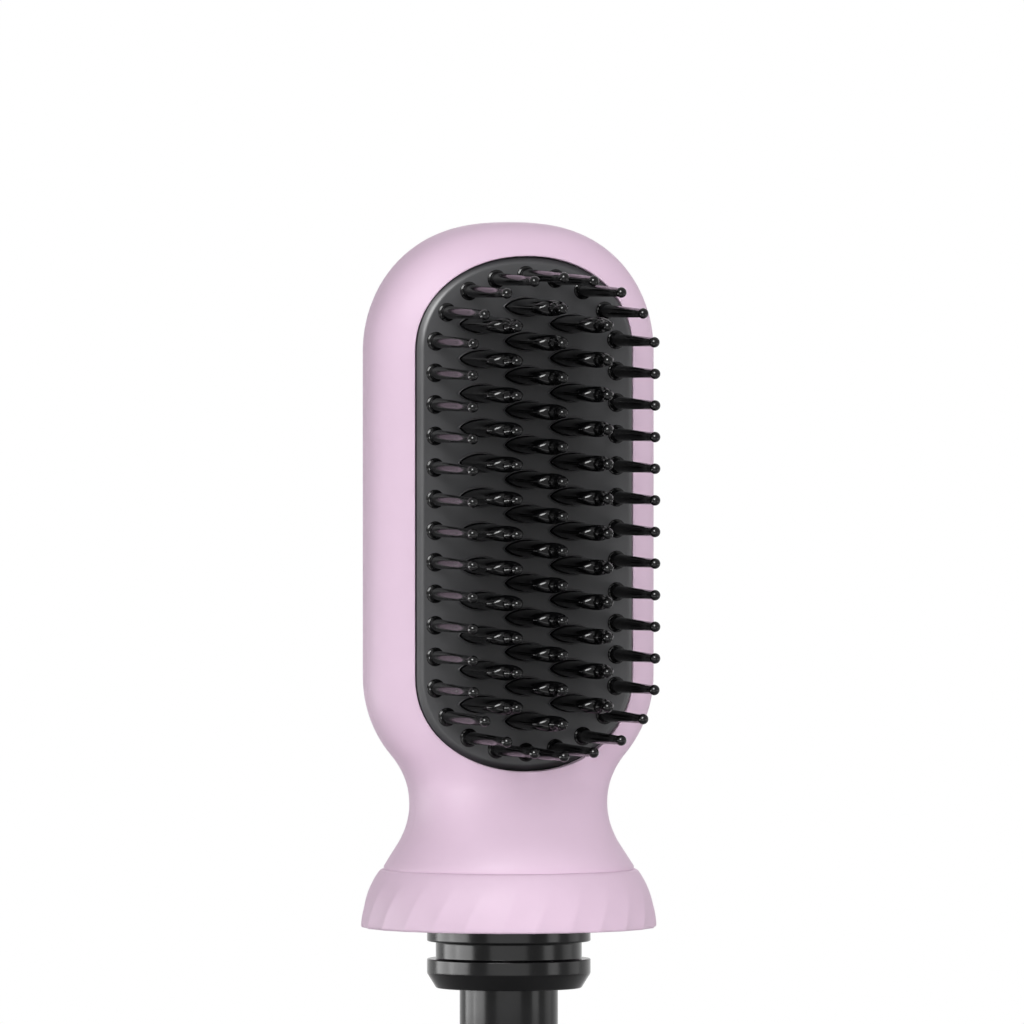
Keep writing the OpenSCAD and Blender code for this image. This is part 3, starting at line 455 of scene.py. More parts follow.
def closed_row(z):
    """Row of the shell clear of the mouth, whose skin and lining end in the middle."""
    return (0.0, z, 0.0, z, False)


def shell_rows(s, p=None):
    """Rows of the shell: (x, z) where its skin ends, the same of its lining, and if that is the mouth."""
    skin = ShellForm(s)
    low = [s.foot_z, s.foot_z, s.foot_z + s.foot_edge]
    if not p:
        waist = [mix(s.foot_z + s.foot_edge, s.shoulder_z, i / 34) for i in range(1, 35)]
        straight = [mix(s.shoulder_z, s.dome_z, i / 6) for i in range(1, 7)]
        return [closed_row(z) for z in low + waist + straight + skin.dome_heights(s.dome_z, 26)[1:]]

    def mouth(angle):
        out, into = plate_point(p, angle, -p.gap - s.mouth_r), plate_point(p, angle, -p.gap)
        return (max(out[0], 0), out[1] + p.mid_z, max(into[0], 0), into[1] + p.mid_z, True)

    turns = [radians(90) * i / 20 for i in range(20)] + [radians(90) - 1e-4]
    below = [mouth(-pi / 2 + t) for t in turns]
    above = [mouth(pi / 2 - t) for t in reversed(turns)]
    x_out, x_in = below[-1][0], below[-1][2]
    heights = [mix(below[-1][1], above[0][1], i / 8) for i in range(1, 8)]
    straight = [(x_out, z, x_in, z, True) for z in heights]
    waist = [mix(s.foot_z + s.foot_edge, below[0][1], i / 18) for i in range(1, 18)]
    dome = skin.dome_heights(above[-1][1], 16)[1:]
    return [closed_row(z) for z in low + waist] + below + straight + above + [closed_row(z) for z in dome]


def shell_half(s, side, rows):
    """Closed half of the shell, side -1 the front and 1 the back."""
    skin, lining = ShellForm(s), ShellForm(s, s.wall)
    bm = bmesh.new()
    columns = 26
    edge = 4 if any(row[4] for row in rows) else 0
    count = 2 * columns + edge + 2

    def strip(column, row):
        x_out, z_out, x_in, z_in, _ = rows[row]
        if column <= columns:
            return skin.at(skin.angle_of(x_out, z_out, side) * column / columns, z_out, side)
        if column <= columns + edge:
            a = (column - columns) / edge * pi / 2
            x, z = mix(x_out, x_in, sin(a)), mix(z_out, z_in, sin(a))
            point = skin.at(skin.angle_of(x, z, side), z, side)
            point.y -= side * s.mouth_r * (1 - cos(a))
            return point
        return lining.at(lining.angle_of(x_in, z_in, side) * (count - 1 - column) / columns, z_in, side)

    def drop(column, row):
        return columns <= column <= columns + edge and not (rows[row][4] and rows[row + 1][4])

    for hand in (1, -1):
        def place(column, row):
            column %= count
            if row == 0:
                point = (strip(column, 1) + strip(count - 1 - column, 1)) / 2
            else:
                point = strip(column, row)
            return Vector((hand * point.x, point.y, min(point.z, CAD_HIGH.z)))

        grid(bm, count, len(rows) - 1, place, drop)
    clean(bm)
    return bm


def inner_flange(bm, s, side):
    """The flange inside the shell's foot, which the plug's screws hold."""
    start = pi if side < 0 else 0.0
    slack = asin(2 * s.seam / FLANGE_BORE_R)
    high = s.foot_z + FLANGE_H
    sector(bm, FLANGE_BORE_R, s.foot_d / 2 - s.wall / 2, s.foot_z + 0.05 * MM, high, start + slack,
           pi - 2 * slack, 24, ShellForm(s).half_width(high) - s.wall / 2)


def front_fittings(bm, s, p):
    """Posts for the plate's screws, and three catches on each side."""
    for x in (-1, 1):
        for z in (-1, 1):
            post(bm, *plate_screw(p, x, z), 4.55 * MM, 6.4 * MM, SCREW_EAR_R)
        for share in (0.12, 0.5, 0.88):
            block(bm, (x * CATCH_X, -CATCH_Y, mix(s.shoulder_z, s.dome_z, share)), CATCH_SIZE)


# Lock ring

def lock_ring(r):
    """The fluted ring: 12 columns to a flute, which lean and fade out towards the top."""
    bm = bmesh.new()
    fine = 12
    drop = (r.rim_d - r.top_d) / 2
    arc = (r.height ** 2 + drop ** 2) / (2 * drop)
    top, web = r.low_z + r.height, r.low_z + r.height - r.web
    edge, small = RING_EDGE, WEB_EDGE

    def bell(z):
        return r.rim_d / 2 - arc + sqrt(arc * arc - (z - r.low_z) ** 2)

    rows = [(r.low_z + edge * (1 - cos(a)), -edge * (1 - sin(a)), True) for a in quarter(4)]
    rows += [(mix(r.low_z + edge, top - edge, i / 16), 0.0, True) for i in range(1, 17)]
    rows += [(top - edge * (1 - sin(a)), -edge * (1 - cos(a)), True) for a in quarter(4)[1:]]
    rows = [(z, bell(z) + off, fluted) for z, off, fluted in rows]
    rows += [(top, r.bore_r + small, False), (top - small, r.bore_r, False), (web + small, r.bore_r, False)]
    rows += [(web, r.bore_r + small, False), (web, bell(web) - r.wall - small, False)]
    inside = [mix(web - small, r.low_z + small, i / 8) for i in range(9)]
    rows += [(z, bell(z) - r.wall, False) for z in inside]
    rows.append((r.low_z, bell(r.low_z) - r.wall + small, False))

    def place(column, row):
        z, radius, fluted = rows[row % len(rows)]
        u = column % fine / fine
        if fluted:
            radius -= 4 * u * (1 - u) * r.flute_depth * (1 - smooth_step((z - r.low_z) / r.flute_h))
        lean = radians(FLUTE_START + FLUTE_LEAN * (z - r.low_z) / r.height)
        a = tau * column / (fine * r.flutes) + lean
        return Vector((radius * cos(a), radius * sin(a), z))

    grid(bm, fine * r.flutes, len(rows), place)
    clean(bm)
    return bm


def lugs(bm, r):
    """The three bayonet lugs inside the ring's skirt."""
    made = bmesh.new()
    for i in range(3):
        sector(made, LUG_R, r.rim_d / 2 - r.wall / 2 - 0.5 * MM, r.low_z + LUG_LOW, r.low_z + LUG_HIGH,
               radians(120 * i), radians(24))
    clean(made)
    round_edges(made, 0.3 * MM, 2, radians(40))
    join(bm, made)


def join(bm, other):
    """Adds another mesh's pieces to the first and frees it."""
    mesh = mesh_from("part", other)
    bm.from_mesh(mesh)
    bpy.data.meshes.remove(mesh)


# Plug and stem

def plug(g):
    """The plug from its chamfer to the hub, with its edges rounded."""
    bm = bmesh.new()
    # Radius, and height above the lower face in millimetres
    steps = [
        (g.tip_r, 0), (g.ring_r, 3.2), (g.ring_r, 6.4), (g.groove_r, 6.4), (g.groove_r, 10.2),
        (g.ring_r, 10.2), (g.ring_r, 20.4), (g.hub_r, 20.4), (g.hub_r, 20.8), (g.hub_r - MM, 20.8),
        (g.hub_r - MM, 22.2), (g.hub_r, 22.2), (g.hub_r, 26), (LEAD_BORE_R, 26),
        (LEAD_BORE_R, SPIGOT_MM), (PLUG_BORE_R, SPIGOT_MM), (PLUG_BORE_R, 0),
    ]
    profile = [(radius, g.low_z + height * MM) for radius, height in steps]
    turned(bm, held(profile, 0.5 * MM), 96)
    clean(bm)

    def outside(edge):
        return (min(v.co.xy.length for v in edge.verts) > 15 * MM
                and max(v.co.z for v in edge.verts) < g.low_z + 20.5 * MM)

    round_edges(bm, 0.26 * MM, 3, radians(15), outside)
    return bm


def stem(g):
    """The stem tube, which narrows to a spigot where it enters the plug."""
    bm = bmesh.new()
    top, inner = g.low_z + SPIGOT_MM * MM, g.stem_r - g.stem_wall
    profile = [(g.stem_r, 0), (g.stem_r, g.low_z), (g.stem_r - 0.5 * MM, g.low_z),
               (g.stem_r - 0.5 * MM, top), (inner, top), (inner, 0)]
    turned(bm, held(profile, 0.4 * MM), 80)
    clean(bm)
    round_edges(bm, 0.25 * MM, 2, radians(40), lambda e: max(v.co.z for v in e.verts) < g.low_z)
    return bm


# Bristle plate

def plate_body(p):
    """The plate: flange, rim, crowned shoulder and face outside, pocket behind."""
    bm = bmesh.new()
    around = 160
    rise = p.face_y - p.rim_y
    # Inset and depth in millimetres, from the pocket round the flange to the rim
    flange = [(2.2, 9), (2.2, 6.5), (-1.45, 6.5), (-1.6, 6.65), (-1.6, 7.85), (-1.45, 8), (0, 8)]
    rows = [(inset * MM, y * MM) for inset, y in flange]
    rows += [(0, p.rim_y - 0.15 * MM), (0.04 * MM, p.rim_y - 0.04 * MM)]
    rows += [(mix(0.04 * MM, 1.5 * MM, i / 6), p.rim_y + rise * sin(a)) for i, a in enumerate(quarter(6))]

    def place(column, row):
        inset, y = rows[row]
        x, z = plate_point(p, tau * (column + 0.5) / around, inset)
        return Vector((x, -y, z + p.mid_z))

    grid(bm, around, len(rows) - 1, place)
    close_ends(bm)
    return bm


def on_plate(p, at, x, y, z):
    """Point at depth y in front of the axis, over a place on the plate."""
    return Vector((at[0] + x, -y, p.mid_z + at[1] + z))


def window_point(p, at, grow, column, y):
    """Point of a window's outline that lies outside its fin by grow."""
    x, z = oval(p.fin_w + 2 * grow, p.fin_t + 2 * grow, tau * (column + 0.5) / WINDOW_SIDES)
    return on_plate(p, at, x, y, z)


def window_ring(bm, p, at):
    """The rounded lip round one window, from the plate's back to above its face."""
    inner, outer = p.window_gap, p.window_gap + p.lip_w
    high, low = p.face_y + p.lip_h, 9.05 * MM
    half = p.lip_w / 2
    rows = [(outer - 0.15 * MM, low), (outer, p.face_y - 0.05 * MM)]
    for i in range(7):
        a = i / 6 * pi
        rows.append((inner + half + half * cos(a), high - half + half * sin(a)))
    rows += [(inner, low), (outer - 0.15 * MM, low)]

    def place(column, row):
        grow, y = rows[row]
        return window_point(p, at, grow, column, y)

    grid(bm, WINDOW_SIDES, len(rows) - 1, place)


def window_cutters(p):
    """Ovals through the plate, under the middle of each lip."""
    bm = bmesh.new()
    grow = p.window_gap + p.lip_w / 2
    for at in fin_places():
        def place(column, row):
            return window_point(p, at, grow, column, (8 + 5 * row) * MM)

        grid(bm, WINDOW_SIDES, 1, place)
    close_ends(bm)
    return bm


def plate_screw(p, x, z):
    """Place of the plate's screw on side x (-1 or 1) at end z (-1 or 1)."""
    return x * (p.width / 2 - PLATE_SCREW_X), p.mid_z + z * (p.length / 2 - PLATE_SCREW_Z)


def screw_ears(bm, p):
    """The plate's screw ears and the bosses for the heating stack's screws."""
    for x in (-1, 1):
        for z in (-1, 1):
            at_x, at_z = plate_screw(p, x, z)
            post(bm, at_x, at_z, 3 * MM, 4.5 * MM, SCREW_EAR_R)
            block(bm, (at_x - x * SCREW_EAR_R, -3.75 * MM, at_z), (2 * SCREW_EAR_R, 1.48 * MM, 4.36 * MM))
            block(bm, (at_x - x * 3.4 * MM, -5.5 * MM, at_z), (2 * MM, 4.9 * MM, 3 * MM))
        for z in (-1, 0, 1):
            post(bm, x * (p.width / 2 - STACK_BOSS_X), p.mid_z + z * STACK_BOSS_Z, 5.62 * MM, 9.5 * MM,
                 STACK_BOSS_R)


# Bristles and fins

def ball(radius, centre, start):
    """Profile points of a ball tip, from a start angle, 0 at its equator, to its pole."""
    angles = [mix(start, pi / 2, i / 7) for i in range(8)]
    return [(radius * cos(a), centre + radius * sin(a)) for a in angles]


def bristle_profile(b):
    """Radius and height of an edge bristle: rounded foot, flare, tapered shaft and ball."""
    foot, sink, rim, edge = b.foot_r, 0.3 * MM, 0.12 * MM, 0.2 * MM
    flare_low, flare_high = 0.34 * MM, 1.6 * MM
    points = [(0, -sink), (foot, -sink), (foot, rim)]
    points += [(foot - edge * (1 - cos(a)), rim + edge * sin(a)) for a in (pi / 6, pi / 3, pi / 2)]
    start = foot - 0.25 * MM
    points += [(mix(start, b.shaft_r, sin(a)), mix(flare_high, flare_low, cos(a))) for a in quarter(5)]
    neck = b.reach - b.ball_r - b.ball_r * 0.6
    points += [(mix(b.shaft_r, b.neck_r, t), mix(flare_high, neck, t)) for t in (0.35, 0.7, 1)]
    return points + ball(b.ball_r, b.reach - b.ball_r, -acos(min((b.neck_r + 0.02 * MM) / b.ball_r, 1)))


def tip_profile(p, b):
    """Radius and height of a fin's cool tip: domed nub, neck and ball."""
    rise = b.tip_reach - p.fin_h
    nub, neck, rim, sink = 1.42 * MM, 0.74 * MM, 0.1 * MM, 0.6 * MM
    points = [(0, -sink), (1.35 * MM, -sink), (nub, rim)]
    points += [(mix(0.8 * MM, nub, cos(a) ** 0.8), mix(rim, 1.5 * MM, sin(a)))
               for a in (radians(15 * i) for i in range(1, 6))]
    points += [(neck, 2 * MM), (neck, rise - 1.78 * b.ball_r)]
    return points + ball(b.ball_r, rise - b.ball_r, -acos(0.78 * MM / b.ball_r))


def stand(bm, p, places, profile, height):
    """Turns the profile at each place on the plate, from a height above its face."""
    for at in places:
        turned(bm, profile, POST_SIDES, on_plate(p, at, 0, p.face_y + height, 0), (0, -1, 0), closed=False)
    clean(bm)


def fin(bm, p, at):
    """One heated fin: an oval blade that narrows a little to a rounded crest."""
    around = 32
    foot = p.face_y - FIN_FOOT_Y
    reach = foot + p.fin_h
    crest = 7 * MM
    edge = 1.3 * MM
    walls, rounds = 6, 8

    def top(x):
        return reach - crest + sqrt(crest * crest - x * x)

    def place(column, row):
        a = tau * (column + 0.5) / around
        share = min(row / walls, 1)
        level = sin(min(max(row - walls, 0) / rounds, 1) * pi / 2)
        drawn = edge * (1 - sqrt(max(1 - level * level, 0)))
        shrink = 1 - max(row - walls - rounds, 0) / 2
        height = share * (top(oval(p.fin_top_w, p.fin_t, a)[0]) - edge)
        width = mix(p.fin_w, p.fin_top_w, min(max((height - foot) / p.fin_h, 0), 1)) - 2 * drawn
        x, z = oval(width, p.fin_t - 2 * drawn, a)
        z *= shrink
        if row > walls:
            height = top(x) - edge + edge * level
        return on_plate(p, at, x, FIN_FOOT_Y + height, z)

    grid(bm, around, walls + rounds + 2, place)


# Materials

def add(tree, kind, settings=None, links=None):
    """Adds a shader node, sets its options and inputs, and links sockets to its inputs."""
    node = tree.nodes.new("ShaderNode" + kind)
    for name, value in (settings or {}).items():
        if hasattr(node, name):
            setattr(node, name, value)
        else:
            node.inputs[name].default_value = value
    for name, socket in (links or {}).items():
        tree.links.new(socket, node.inputs[name])
    return node


def empty_tree(owner):
    """Gives a material or a world an empty node tree."""
    owner.use_nodes = True
    owner.node_tree.nodes.clear()
    return owner.node_tree


def finish(name, base, rough, metallic=0.0, mirror=0.5, grain=0.15, relief=0.004, stretch=(1, 1, 1),
           cloud=9.0, spread=0.05, shade=0.03, pattern="TexNoise"):
    """A material with a fine grain in its relief and a slow change in its gloss and its shade.

    The grain and cloud sizes and the relief are in millimetres, the base is linear, and mirror is the
    specular level, where 0.5 is a polished plastic.
    """
    material = bpy.data.materials.new(name)
    tree = empty_tree(material)

    def spread_over(socket, middle, half):
        """Spreads a noise's usual values over a middle plus and minus half a range."""
        reach = {"From Min": 0.3, "From Max": 0.7, "To Min": middle - half, "To Max": middle + half}
        return add(tree, "MapRange", reach, {"Value": socket}).outputs[0]

    place = add(tree, "TexCoord").outputs["Object"]
    pulled = add(tree, "Mapping", {"Scale": stretch}, {"Vector": place}).outputs["Vector"]
    fine = add(tree, pattern, {"Scale": 1 / (grain * MM)}, {"Vector": pulled}).outputs[0]
    slow = add(tree, "TexNoise", {"Scale": 1 / (cloud * MM), "Detail": 3.0}, {"Vector": place}).outputs[0]
    gloss = spread_over(slow, rough, spread)
    tone = spread_over(slow if pattern == "TexNoise" else fine, 1, shade)
    tint = add(tree, "HueSaturation", {"Color": base}, {"Value": tone}).outputs[0]
    bump = add(tree, "Bump", {"Strength": 1.0, "Distance": relief * MM}, {"Height": fine}).outputs[0]
    shader = add(tree, "BsdfPrincipled", {"Metallic": metallic, "Specular IOR Level": mirror},
                 {"Base Color": tint, "Roughness": gloss, "Normal": bump})
    add(tree, "OutputMaterial", links={"Surface": shader.outputs[0]})
    return material


def pink_abs(name, **look):
    """Moulded ABS: lilac pink with a satin gloss and a fine spark-eroded grain."""
    base = bpy.context.scene.brush_colours.shell
    return finish(name, base, 0.5, mirror=0.12, grain=0.09, relief=0.0015, **look)


def black_nylon(name, mirror):
    """Moulded nylon: black with a soft highlight down a shaft and a brighter one on a ball."""
    base = bpy.context.scene.brush_colours.bristle
    return finish(name, base, 0.13, mirror=mirror, grain=0.2, relief=0.002, cloud=5, spread=0.03)


def dress(name, value, rough, *nodes, **look):
    """Gives CAD nodes that stay as they are a finish of their own."""
    material = finish(name, linear(value), rough, **look)
    for node in nodes:
        for place in NODES[node].material_slots:
            place.material = material


def dress_inner_nodes():
    """Finishes of the pieces inside, whose shape the CAD nodes give."""
    # Rolled strip: bright, with fine lines along the turn and soft gloss
    dress("Spring steel", "b9bcc0", 0.3, "ring_retainer", "wave_washer", metallic=1, grain=0.12,
          stretch=(1, 1, 8), relief=0.002)
    # Brighter and smoother than the strip
    dress("Ground steel", "c4c7ca", 0.2, "stop_pins", metallic=1, grain=0.08, stretch=(1, 1, 12),
          relief=0.001)
    # Cool, slightly blotched grey
    dress("Zinc-plated steel", "c0c3c6", 0.34, "plug_screws", "plate_screws", "clamp_screws", metallic=1,
          grain=0.3, relief=0.002, cloud=2, shade=0.08)
    # Dull black with short pale fibres that break its gloss
    dress("Glass-filled PBT", "26262a", 0.55, "contact_block", grain=0.25, stretch=(1, 1, 0.4), relief=0.01)
    # Warm, with fine rings across the pin
    dress("Turned brass", "c9a24a", 0.22, "contact_pins", metallic=1, grain=0.06, stretch=(1, 1, 14),
          relief=0.002)
    # Matt dark grey with a talc-like haze
    dress("EPDM rubber", "38383c", 0.75, "grommet", grain=0.1, relief=0.01, cloud=3, shade=0.1)
    # Gloss black over a faint casting grain
    dress("Ceramic-coated aluminium base", "0c0c0d", 0.25, "comb_base", mirror=0.3, grain=0.6, relief=0.006)
    # Golden flakes that lie in patches and catch light one by one
    dress("Mica sheet", "cbb98a", 0.32, "insulation_sheets", grain=2.2, relief=0.01, shade=0.16,
          pattern="TexVoronoi")
    # Warm metal that has dulled a little in patches
    dress("Copper strip", "c77b3e", 0.28, "electrodes", metallic=1, grain=0.1, stretch=(10, 1, 1),
          relief=0.002, cloud=4, shade=0.12)
    # Grey-brown and stone-like, with visible pores
    dress("PTC ceramic", "8b8680", 0.6, "heater_cells", grain=0.2, relief=0.02, cloud=1.5, shade=0.08)
    # Satin steel with a grain along its length
    dress("Pressed steel sheet", "9ea2a6", 0.36, "clamp_plate", metallic=1, grain=0.15, stretch=(8, 1, 1),
          relief=0.002)
    # Straw-coloured metal with uneven sheen
    dress("Passivated steel case", "b8a14f", 0.33, "thermal_cutout", metallic=1, grain=0.2, relief=0.003,
          cloud=3, shade=0.14)
    # Glossy, slightly wavy where the drop has set
    dress("Epoxy resin", "30343c", 0.16, "temperature_sensor", grain=1.6, relief=0.03)
    # Soft sheen and a slightly powdery surface
    dress("Red silicone sleeve", "b23a34", 0.45, "power_leads", grain=0.1, cloud=5)
    dress("White silicone sleeve", "e2ded6", 0.45, "sensor_leads", grain=0.1, cloud=5)
    # Milky, with soft sheen
    dress("Natural nylon", "ddd8cc", 0.4, "lead_tie", grain=0.2)


# Operators: one for each group of pieces

class BRUSH_OT_shells(bpy.types.Operator):
    """Builds the front and rear halves of the pink shell"""
    bl_idname = "brush.shells"
    bl_label = "Shells"

    def execute(self, context):
        s, p = context.scene.brush_shell, context.scene.brush_plate
        pink = pink_abs("Moulded ABS", cloud=14, spread=0.03, shade=0.012)
        for side, name, rows in ((-1, "front_shell", shell_rows(s, p)), (1, "rear_shell", shell_rows(s))):
            bm = shell_half(s, side, rows)
            inner_flange(bm, s, side)
            if side < 0:
                front_fittings(bm, s, p)
            bmesh.ops.recalc_face_normals(bm, faces=bm.faces)
            piece(name + "_form", bm, "head", pink, [name])
        return {"FINISHED"}


class BRUSH_OT_lock_ring(bpy.types.Operator):
    """Builds the fluted lock ring with its lugs and the stop pins' slots"""
    bl_idname = "brush.lock_ring"
    bl_label = "Lock ring"

    def execute(self, context):
        r = context.scene.brush_ring
        # More uneven than the shell, where fingers grip the flutes
        pink = pink_abs("Moulded ABS ring", cloud=8, spread=0.04, shade=0.015)
        bm = lock_ring(r)
        lugs(bm, r)
        ring = piece("lock_ring_form", bm, "collar", pink, ["lock_ring"])
        cutter = bmesh.new()
        turn, slack = radians(LOCK_TURN), radians(SLOT_SLACK)
        for side in (0, pi):
            sector(cutter, r.bore_r - 0.5 * MM, r.slot_r, r.low_z + SLOT_LOW, r.low_z + r.height + MM,
                   pi / 2 + side - turn - slack, turn + 2 * slack, 16)
        clean(cutter)
        carve(ring, cutter)
        return {"FINISHED"}


class BRUSH_OT_plug(bpy.types.Operator):
    """Builds the black plug and its stem tube"""
    bl_idname = "brush.plug"
    bl_label = "Plug and stem"

    def execute(self, context):
        g, base = context.scene.brush_plug, context.scene.brush_colours.plug
        # Semi-gloss, with a slight flow pattern in the gloss
        black = finish("Moulded black PBT", base, 0.2, mirror=0.18, grain=0.12, relief=0.0015, cloud=10,
                       spread=0.03)
        # The same black with lines drawn along its length
        drawn = finish("Extruded black tube", base, 0.2, mirror=0.18, grain=0.15, stretch=(1, 1, 0.05),
                       relief=0.001, spread=0.03)
        body = piece("plug_body_form", plug(g), "head", black, ["plug_body"], 30)
        cutter = bmesh.new()
        for i in range(4):
            a = radians(45 + 90 * i)
            middle = Vector((SCREW_RING_R * cos(a), SCREW_RING_R * sin(a), g.low_z))
            profile = [(0, 18 * MM), (COUNTERBORE_R, 18 * MM), (COUNTERBORE_R, 22 * MM),
                       (PLUG_SCREW_R, 22 * MM), (PLUG_SCREW_R, 28 * MM), (0, 28 * MM)]
            turned(cutter, profile, 24, middle, closed=False)
        clean(cutter)
        carve(body, cutter)
        piece("stem_tube_form", stem(g), "head", drawn, ["stem_tube"], 30)
        return {"FINISHED"}


class BRUSH_OT_plate(bpy.types.Operator):
    """Builds the black bristle plate with its windows and their lips"""
    bl_idname = "brush.plate"
    bl_label = "Bristle plate"

    def execute(self, context):
        p, base = context.scene.brush_plate, context.scene.brush_colours.plate
        # Dark and satin, with a fine even grain
        black = finish("Moulded PBT plate", base, 0.42, mirror=0.4, grain=0.12, relief=0.003, cloud=12,
                       spread=0.04)
        plate = piece("bristle_plate_form", plate_body(p), "head", black,
                      ["bristle_plate"], 30)
        carve(plate, window_cutters(p))
        bm = bmesh.new()
        bm.from_mesh(plate.data)
        rings = bmesh.new()
        for at in fin_places():
            window_ring(rings, p, at)
        screw_ears(rings, p)
        clean(rings)
        join(bm, rings)
        bm.to_mesh(plate.data)
        bm.free()
        plate.data.shade_smooth()
        plate.data.set_sharp_from_angle(angle=radians(35))
        return {"FINISHED"}


class BRUSH_OT_bristles(bpy.types.Operator):
    """Builds the ball-tipped edge bristles"""
    bl_idname = "brush.bristles"
    bl_label = "Edge bristles"

    def execute(self, context):
        p, b = context.scene.brush_plate, context.scene.brush_bristles
        nylon = black_nylon("Moulded nylon bristle", 0.22)
        bm = bmesh.new()
        stand(bm, p, bristle_places(p, b), bristle_profile(b), 0.0)
        piece("edge_bristles_form", bm, "head", nylon, ["edge_bristles"], 50)
        return {"FINISHED"}


class BRUSH_OT_fins(bpy.types.Operator):
    """Builds the heated fins and their cool ball tips"""
    bl_idname = "brush.fins"
    bl_label = "Heated fins"

    def execute(self, context):
        p, b = context.scene.brush_plate, context.scene.brush_bristles
        # Deep gloss black, slightly wavy from the cast metal under it
        coated = finish("Ceramic-coated aluminium", context.scene.brush_colours.fin, 0.14, mirror=0.2,
                        grain=1.2, relief=0.008, cloud=6, spread=0.03)
        nylon = black_nylon("Moulded nylon tip", 0.2)
        bm = bmesh.new()
        for at in fin_places():
            fin(bm, p, at)
        close_ends(bm)
        piece("heat_fins_form", bm, "head", coated, ["heat_fins"], 50)
        tips = bmesh.new()
        stand(tips, p, fin_places(), tip_profile(p, b), p.fin_h)
        piece("fin_tips_form", tips, "head", nylon, ["fin_tips"], 50)
        return {"FINISHED"}


class BRUSH_OT_inner(bpy.types.Operator):
    """Gives the metal, ceramic, rubber and wiring parts inside their finishes"""
    bl_idname = "brush.inner"
    bl_label = "Inner parts' finishes"

    def execute(self, context):
        dress_inner_nodes()
        return {"FINISHED"}


# Stage

# Softboxes that light the object: name, turn and rise in degrees, aimed height, distance, width and
# height in metres, and power in watts
SOFTBOXES = (
    ("main softbox", -25, 23, 0.12, 1.5, 0.9, 0.55, 9.7),
    ("right softbox", 12, 23, 0.12, 1.5, 0.9, 0.55, 6.5),
    ("left softbox", -68, 8, 0.06, 1.5, 0.6, 0.5, 1.4),
    ("back softbox", 160, 22, 0.12, 1.5, 1.2, 0.6, 8.5),
)
# Panels whose reflections draw the highlights on the black parts
PANELS = (
    ("left strip", -122, 0, 0.04, 0.3, 0.19, 0.08, 0.42),
    ("left fade", -93, 0, 0.04, 0.3, 0.17, 0.08, 0.55),
    ("right strip", 84.5, 0, 0.04, 0.3, 0.12, 0.08, 0.04),
    ("right panel", 45, 0, 0.04, 0.3, 0.09, 0.08, 0.1),
    ("front panel", -20, 0, 0.035, 0.15, 0.16, 0.05, 0.055),
    ("upper panel", -35, 29, 0.12, 1.2, 0.6, 0.6, 33),
)
# Strength of the surround's light where the camera, mirrors and glass don't see it
AMBIENT = 0.24
# Distances from the axis between which the floor fades to white, in metres
FADE_START, FADE_END = 0.06, 0.2
# Camera: lens and sensor in millimetres, turn and rise in degrees, distance in metres
LENS, SENSOR = 900, 36
CAMERA_TURN, CAMERA_RISE, CAMERA_DISTANCE = -19.5, 1.8, 5.568
CAMERA_AIM = Vector((0.656, -0.232, 128.56)) * MM


def point_at(thing, aim, turn, rise, distance):
    """Places a lamp or a camera at a turn and a rise from its aim, with turn 0 in front."""
    a, e = radians(turn), radians(rise)
    way = Vector((sin(a) * cos(e), -cos(a) * cos(e), sin(e)))
    thing.location = aim + way * distance
    thing.rotation_euler = (-way).to_track_quat("-Z", "Y").to_euler()


def area_light(name, turn, rise, aimed, distance, width, height, power):
    """A rectangular light that is aimed at a height on the axis."""
    data = bpy.data.lights.new(name, "AREA")
    data.shape, data.size, data.size_y, data.energy = "RECTANGLE", width, height, power
    lamp = linked(name, data)
    lamp.visible_camera = False
    point_at(lamp, Vector((0, 0, aimed)), turn, rise, distance)
    return lamp


class BRUSH_OT_stage(bpy.types.Operator):
    """Builds the floor, the white surround, the soft lights and the camera"""
    bl_idname = "brush.stage"
    bl_label = "Stage"

    def execute(self, context):
        bm = bmesh.new()
        bmesh.ops.create_circle(bm, cap_ends=True, radius=1.5, segments=96)
        floor = linked("floor", mesh_from("floor", bm))
        floor.data.materials.append(floor_material())
        white_world(context.scene)
        for row in SOFTBOXES:
            area_light(*row).visible_glossy = False
        for row in PANELS:
            area_light(*row).visible_diffuse = False
        camera = linked("camera", bpy.data.cameras.new("camera"))
        camera.data.lens, camera.data.sensor_width = LENS, SENSOR
        camera.data.clip_start, camera.data.clip_end = 0.1, 40
        point_at(camera, CAMERA_AIM, CAMERA_TURN, CAMERA_RISE, CAMERA_DISTANCE)
        context.scene.camera = camera
        context.scene.view_settings.view_transform = "Standard"
        return {"FINISHED"}


def seen_directly(tree):
    """1 for rays that the camera, a mirror or glass sends out."""
    path = add(tree, "LightPath").outputs
    most = {"operation": "MAXIMUM"}
    first = add(tree, "Math", most, {0: path["Is Camera Ray"], 1: path["Is Glossy Ray"]}).outputs[0]
    return add(tree, "Math", most, {0: first, 1: path["Is Transmission Ray"]}).outputs[0]


def floor_material():
    """Pale floor that keeps the object's soft shadow and turns plain white away from it."""
    material = bpy.data.materials.new("Pale studio floor")
    tree = empty_tree(material)
    place = add(tree, "TexCoord").outputs["Object"]
    away = add(tree, "VectorMath", {"operation": "LENGTH"}, {0: place}).outputs["Value"]
    fade = {"From Min": FADE_START, "From Max": FADE_END, "interpolation_type": "SMOOTHSTEP"}
    far = add(tree, "MapRange", fade, {"Value": away}).outputs[0]
    share = add(tree, "Math", {"operation": "MULTIPLY"}, {0: far, 1: seen_directly(tree)}).outputs[0]
    card = add(tree, "BsdfDiffuse", {"Color": linear("f2f2f2")}).outputs[0]
    white = add(tree, "Emission", {"Strength": 1.0}).outputs[0]
    both = add(tree, "MixShader", links={0: share, 1: card, 2: white}).outputs[0]
    add(tree, "OutputMaterial", links={"Surface": both})
    return material


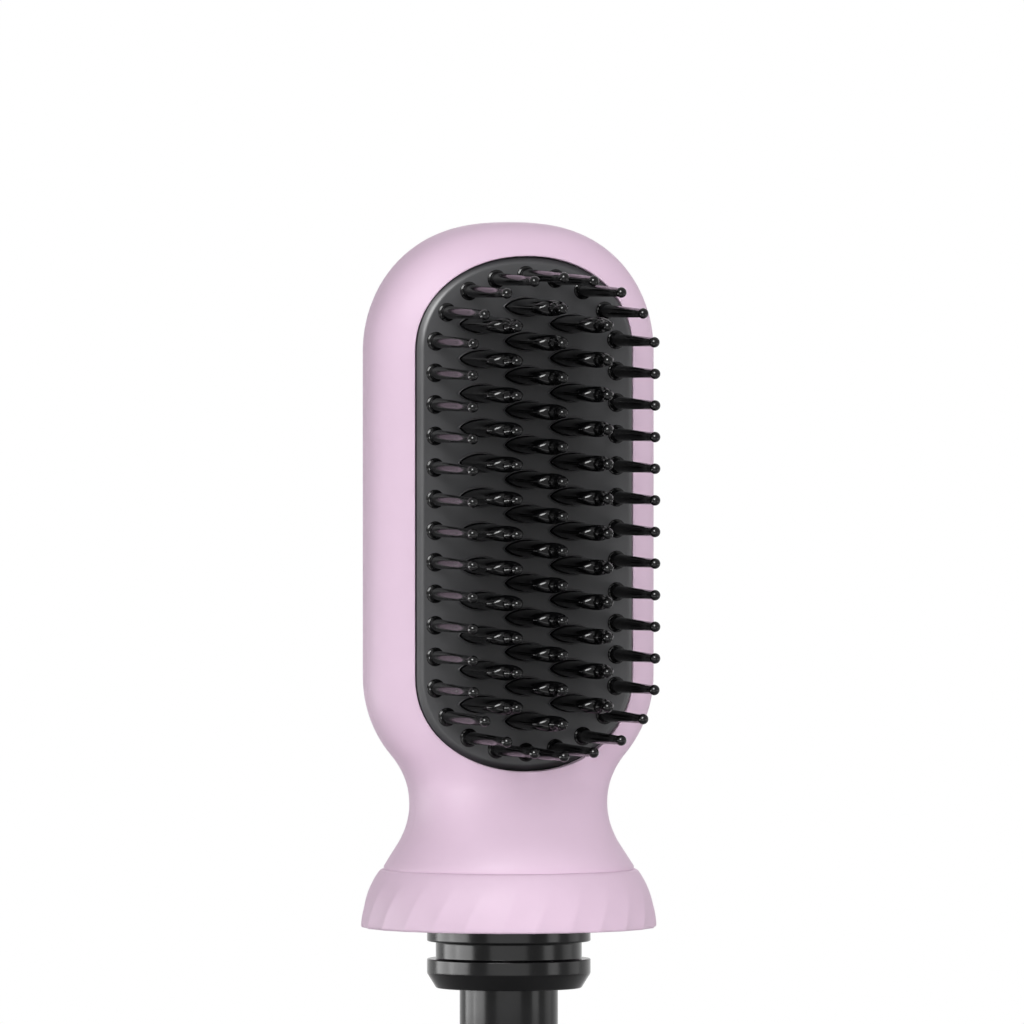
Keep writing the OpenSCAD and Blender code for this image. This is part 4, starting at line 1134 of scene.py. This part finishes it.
def white_world(scene):
    """White for the camera, mirrors and glass, and an even soft light for all else."""
    world = bpy.data.worlds.new("Studio surround")
    scene.world = world
    tree = empty_tree(world)
    seen = {"Value": seen_directly(tree)}
    level = add(tree, "MapRange", {"To Min": AMBIENT, "To Max": 1.0}, seen).outputs[0]
    light = add(tree, "Background", {"Color": (1, 1, 1, 1)}, {"Strength": level}).outputs[0]
    add(tree, "OutputWorld", links={"Surface": light})


class BRUSH_PT_panel(bpy.types.Panel):
    """Lists the sizes, the colours and the steps that build the brush head"""
    bl_label = "Hot Brush Head"
    bl_idname = "BRUSH_PT_panel"
    bl_space_type = "VIEW_3D"
    bl_region_type = "UI"
    bl_category = "Hot Brush"

    def draw(self, context):
        for group in GROUPS:
            box = self.layout.box()
            box.label(text=group.capitalize())
            owner = getattr(context.scene, "brush_" + group)
            for name in GROUPS[group].__annotations__:
                box.prop(owner, name)
        for operator in OPERATORS:
            self.layout.operator(operator.bl_idname)


GROUPS = {
    "shell": BRUSH_PG_shell, "ring": BRUSH_PG_ring, "plug": BRUSH_PG_plug, "plate": BRUSH_PG_plate,
    "bristles": BRUSH_PG_bristles, "colours": BRUSH_PG_colours,
}
OPERATORS = (
    BRUSH_OT_shells, BRUSH_OT_lock_ring, BRUSH_OT_plug, BRUSH_OT_plate, BRUSH_OT_bristles, BRUSH_OT_fins,
    BRUSH_OT_inner, BRUSH_OT_stage,
)
CLASSES = (*GROUPS.values(), *OPERATORS, BRUSH_PT_panel)


def register():
    for kind in CLASSES:
        bpy.utils.register_class(kind)
    for name, kind in GROUPS.items():
        setattr(bpy.types.Scene, "brush_" + name, PointerProperty(type=kind))


def unregister():
    for name in GROUPS:
        delattr(bpy.types.Scene, "brush_" + name)
    for kind in reversed(CLASSES):
        bpy.utils.unregister_class(kind)


def main():
    register()
    bpy.ops.brush.shells()
    bpy.ops.brush.lock_ring()
    bpy.ops.brush.plug()
    bpy.ops.brush.plate()
    bpy.ops.brush.bristles()
    bpy.ops.brush.fins()
    bpy.ops.brush.inner()
    bpy.ops.brush.stage()


if __name__ == "__main__":
    main()
